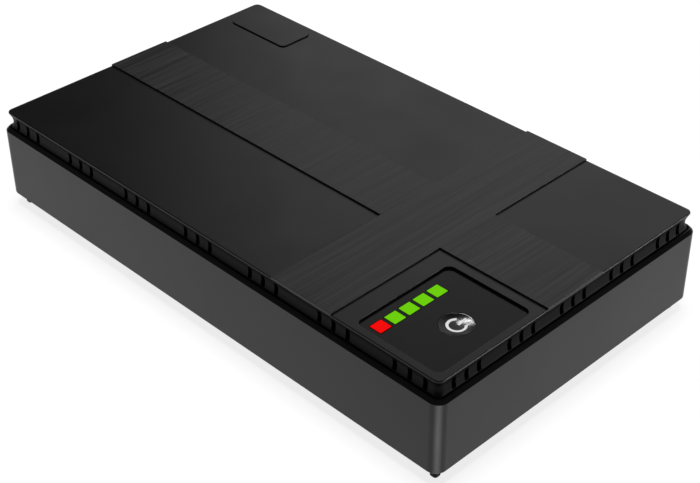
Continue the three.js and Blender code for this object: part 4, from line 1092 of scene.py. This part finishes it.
def add_softbox(name, azimuth, elevation, distance, width, height, radiance):
    """A rectangular softbox facing the origin. Azimuth runs anticlockwise from +X, in degrees."""
    lamp = bpy.data.lights.new(name, "AREA")
    lamp.shape = "RECTANGLE"
    lamp.size = width
    lamp.size_y = height
    lamp.energy = radiance * width * height * math.pi
    holder = bpy.data.objects.new(name, lamp)
    a, e = math.radians(azimuth), math.radians(elevation)
    away = Vector((math.cos(a) * math.cos(e), math.sin(a) * math.cos(e), math.sin(e)))
    holder.location = away * distance
    holder.rotation_mode = "QUATERNION"
    holder.rotation_quaternion = away.to_track_quat("Z", "Y")
    bpy.context.scene.collection.objects.link(holder)
    return holder


def light_only(lamp, names):
    """Keeps a lamp off everything but the named pieces."""
    lit = bpy.data.collections.new(lamp.name + "_pieces")
    for name in names:
        lit.objects.link(bpy.data.objects[name])
    lamp.light_linking.receiver_collection = lit


# azimuth, elevation, distance, width, height, radiance
SOFTBOXES = {
    "overhead": (0, 90, 2.4, 0.9, 0.9, 21),
    "back_panel": (115.5, 33, 1.6, 1.38, 0.85, 1.1),
    "high_strip": (95, 54, 1.5, 1.1, 0.1, 1.0),
}
# The same, for lamps that light one piece only and put a highlight on it
PIECE_LAMPS = {
    "button_glint_wide": ("button_cap", (141, 51, 1.2, 0.3, 0.05, 150)),
    "button_glint_small": ("button_cap", (146, 44, 1.2, 0.12, 0.04, 150)),
    "neck_kicker": ("case_cover", (36, 5, 1.5, 0.6, 0.12, 60)),
    "table_lamp": ("case_shell", (-37, -35.3, 0.5, 0.2, 0.2, 20)),
}
SURROUND = (0.05, 0.05, 0.05, 1)
BACKDROP = (1.0, 1.0, 1.0, 1)


def make_studio_lights():
    """The softboxes, then the lamps for one piece each.

    The table lamp is under the table and casts no shadow, so a real studio has no such lamp.
    """
    lamps = {name: add_softbox(name, *setting) for name, setting in SOFTBOXES.items()}
    lamps["overhead"].visible_glossy = False
    for name, (piece, setting) in PIECE_LAMPS.items():
        lamps[name] = add_softbox(name, *setting)
        light_only(lamps[name], [piece])
    lamps["table_lamp"].data.use_shadow = False


def make_world():
    """A dim surround, which the camera sees as a white backdrop."""
    world = bpy.data.worlds.new("studio")
    bpy.context.scene.world = world
    world.use_nodes = True
    nodes = world.node_tree.nodes
    background = nodes["Background"]
    path = nodes.new("ShaderNodeLightPath")
    mix = nodes.new("ShaderNodeMix")
    mix.data_type = "RGBA"
    colours = [socket for socket in mix.inputs if socket.type == "RGBA"]
    colours[0].default_value = SURROUND
    colours[1].default_value = BACKDROP
    world.node_tree.links.new(path.outputs["Is Camera Ray"], mix.inputs["Factor"])
    result = next(socket for socket in mix.outputs if socket.type == "RGBA")
    world.node_tree.links.new(result, background.inputs["Color"])


SENSOR_WIDTH = 36
FOCAL_LENGTH = 78.5
NEAREST = 0.01
FARTHEST = 20


def make_camera():
    """The camera at the photograph's angle."""
    azimuth = math.radians(45.6746)
    elevation = math.radians(35.331)
    roll = math.radians(-0.3812)
    distance = 414.84 * MM
    across = 4.660 * MM
    upward = -0.553 * MM
    back = Vector(
        (
            math.sin(azimuth) * math.cos(elevation),
            -math.cos(azimuth) * math.cos(elevation),
            math.sin(elevation),
        )
    )
    level_right = Vector((0, 0, 1)).cross(back).normalized()
    level_up = back.cross(level_right)
    right = level_right * math.cos(roll) + level_up * math.sin(roll)
    up = level_up * math.cos(roll) - level_right * math.sin(roll)

    camera = bpy.data.objects.new("camera", bpy.data.cameras.new("camera"))
    camera.data.sensor_width = SENSOR_WIDTH
    camera.data.lens = FOCAL_LENGTH
    camera.data.clip_start = NEAREST
    camera.data.clip_end = FARTHEST
    place = back * distance + right * across + up * upward + Vector((0, 0, underside))
    turn = Matrix((right, up, back)).transposed()
    camera.matrix_world = Matrix.LocRotScale(place, turn.to_quaternion(), None)
    bpy.context.scene.collection.objects.link(camera)
    bpy.context.scene.camera = camera
    bpy.context.scene.view_settings.view_transform = "Standard"


def main():
    make_shell()
    make_cover()
    make_panel()
    make_lights()
    make_badge()
    make_feet()
    make_button()
    make_symbol()
    make_other_parts()
    make_floor()
    make_studio_lights()
    make_world()
    make_camera()


main()
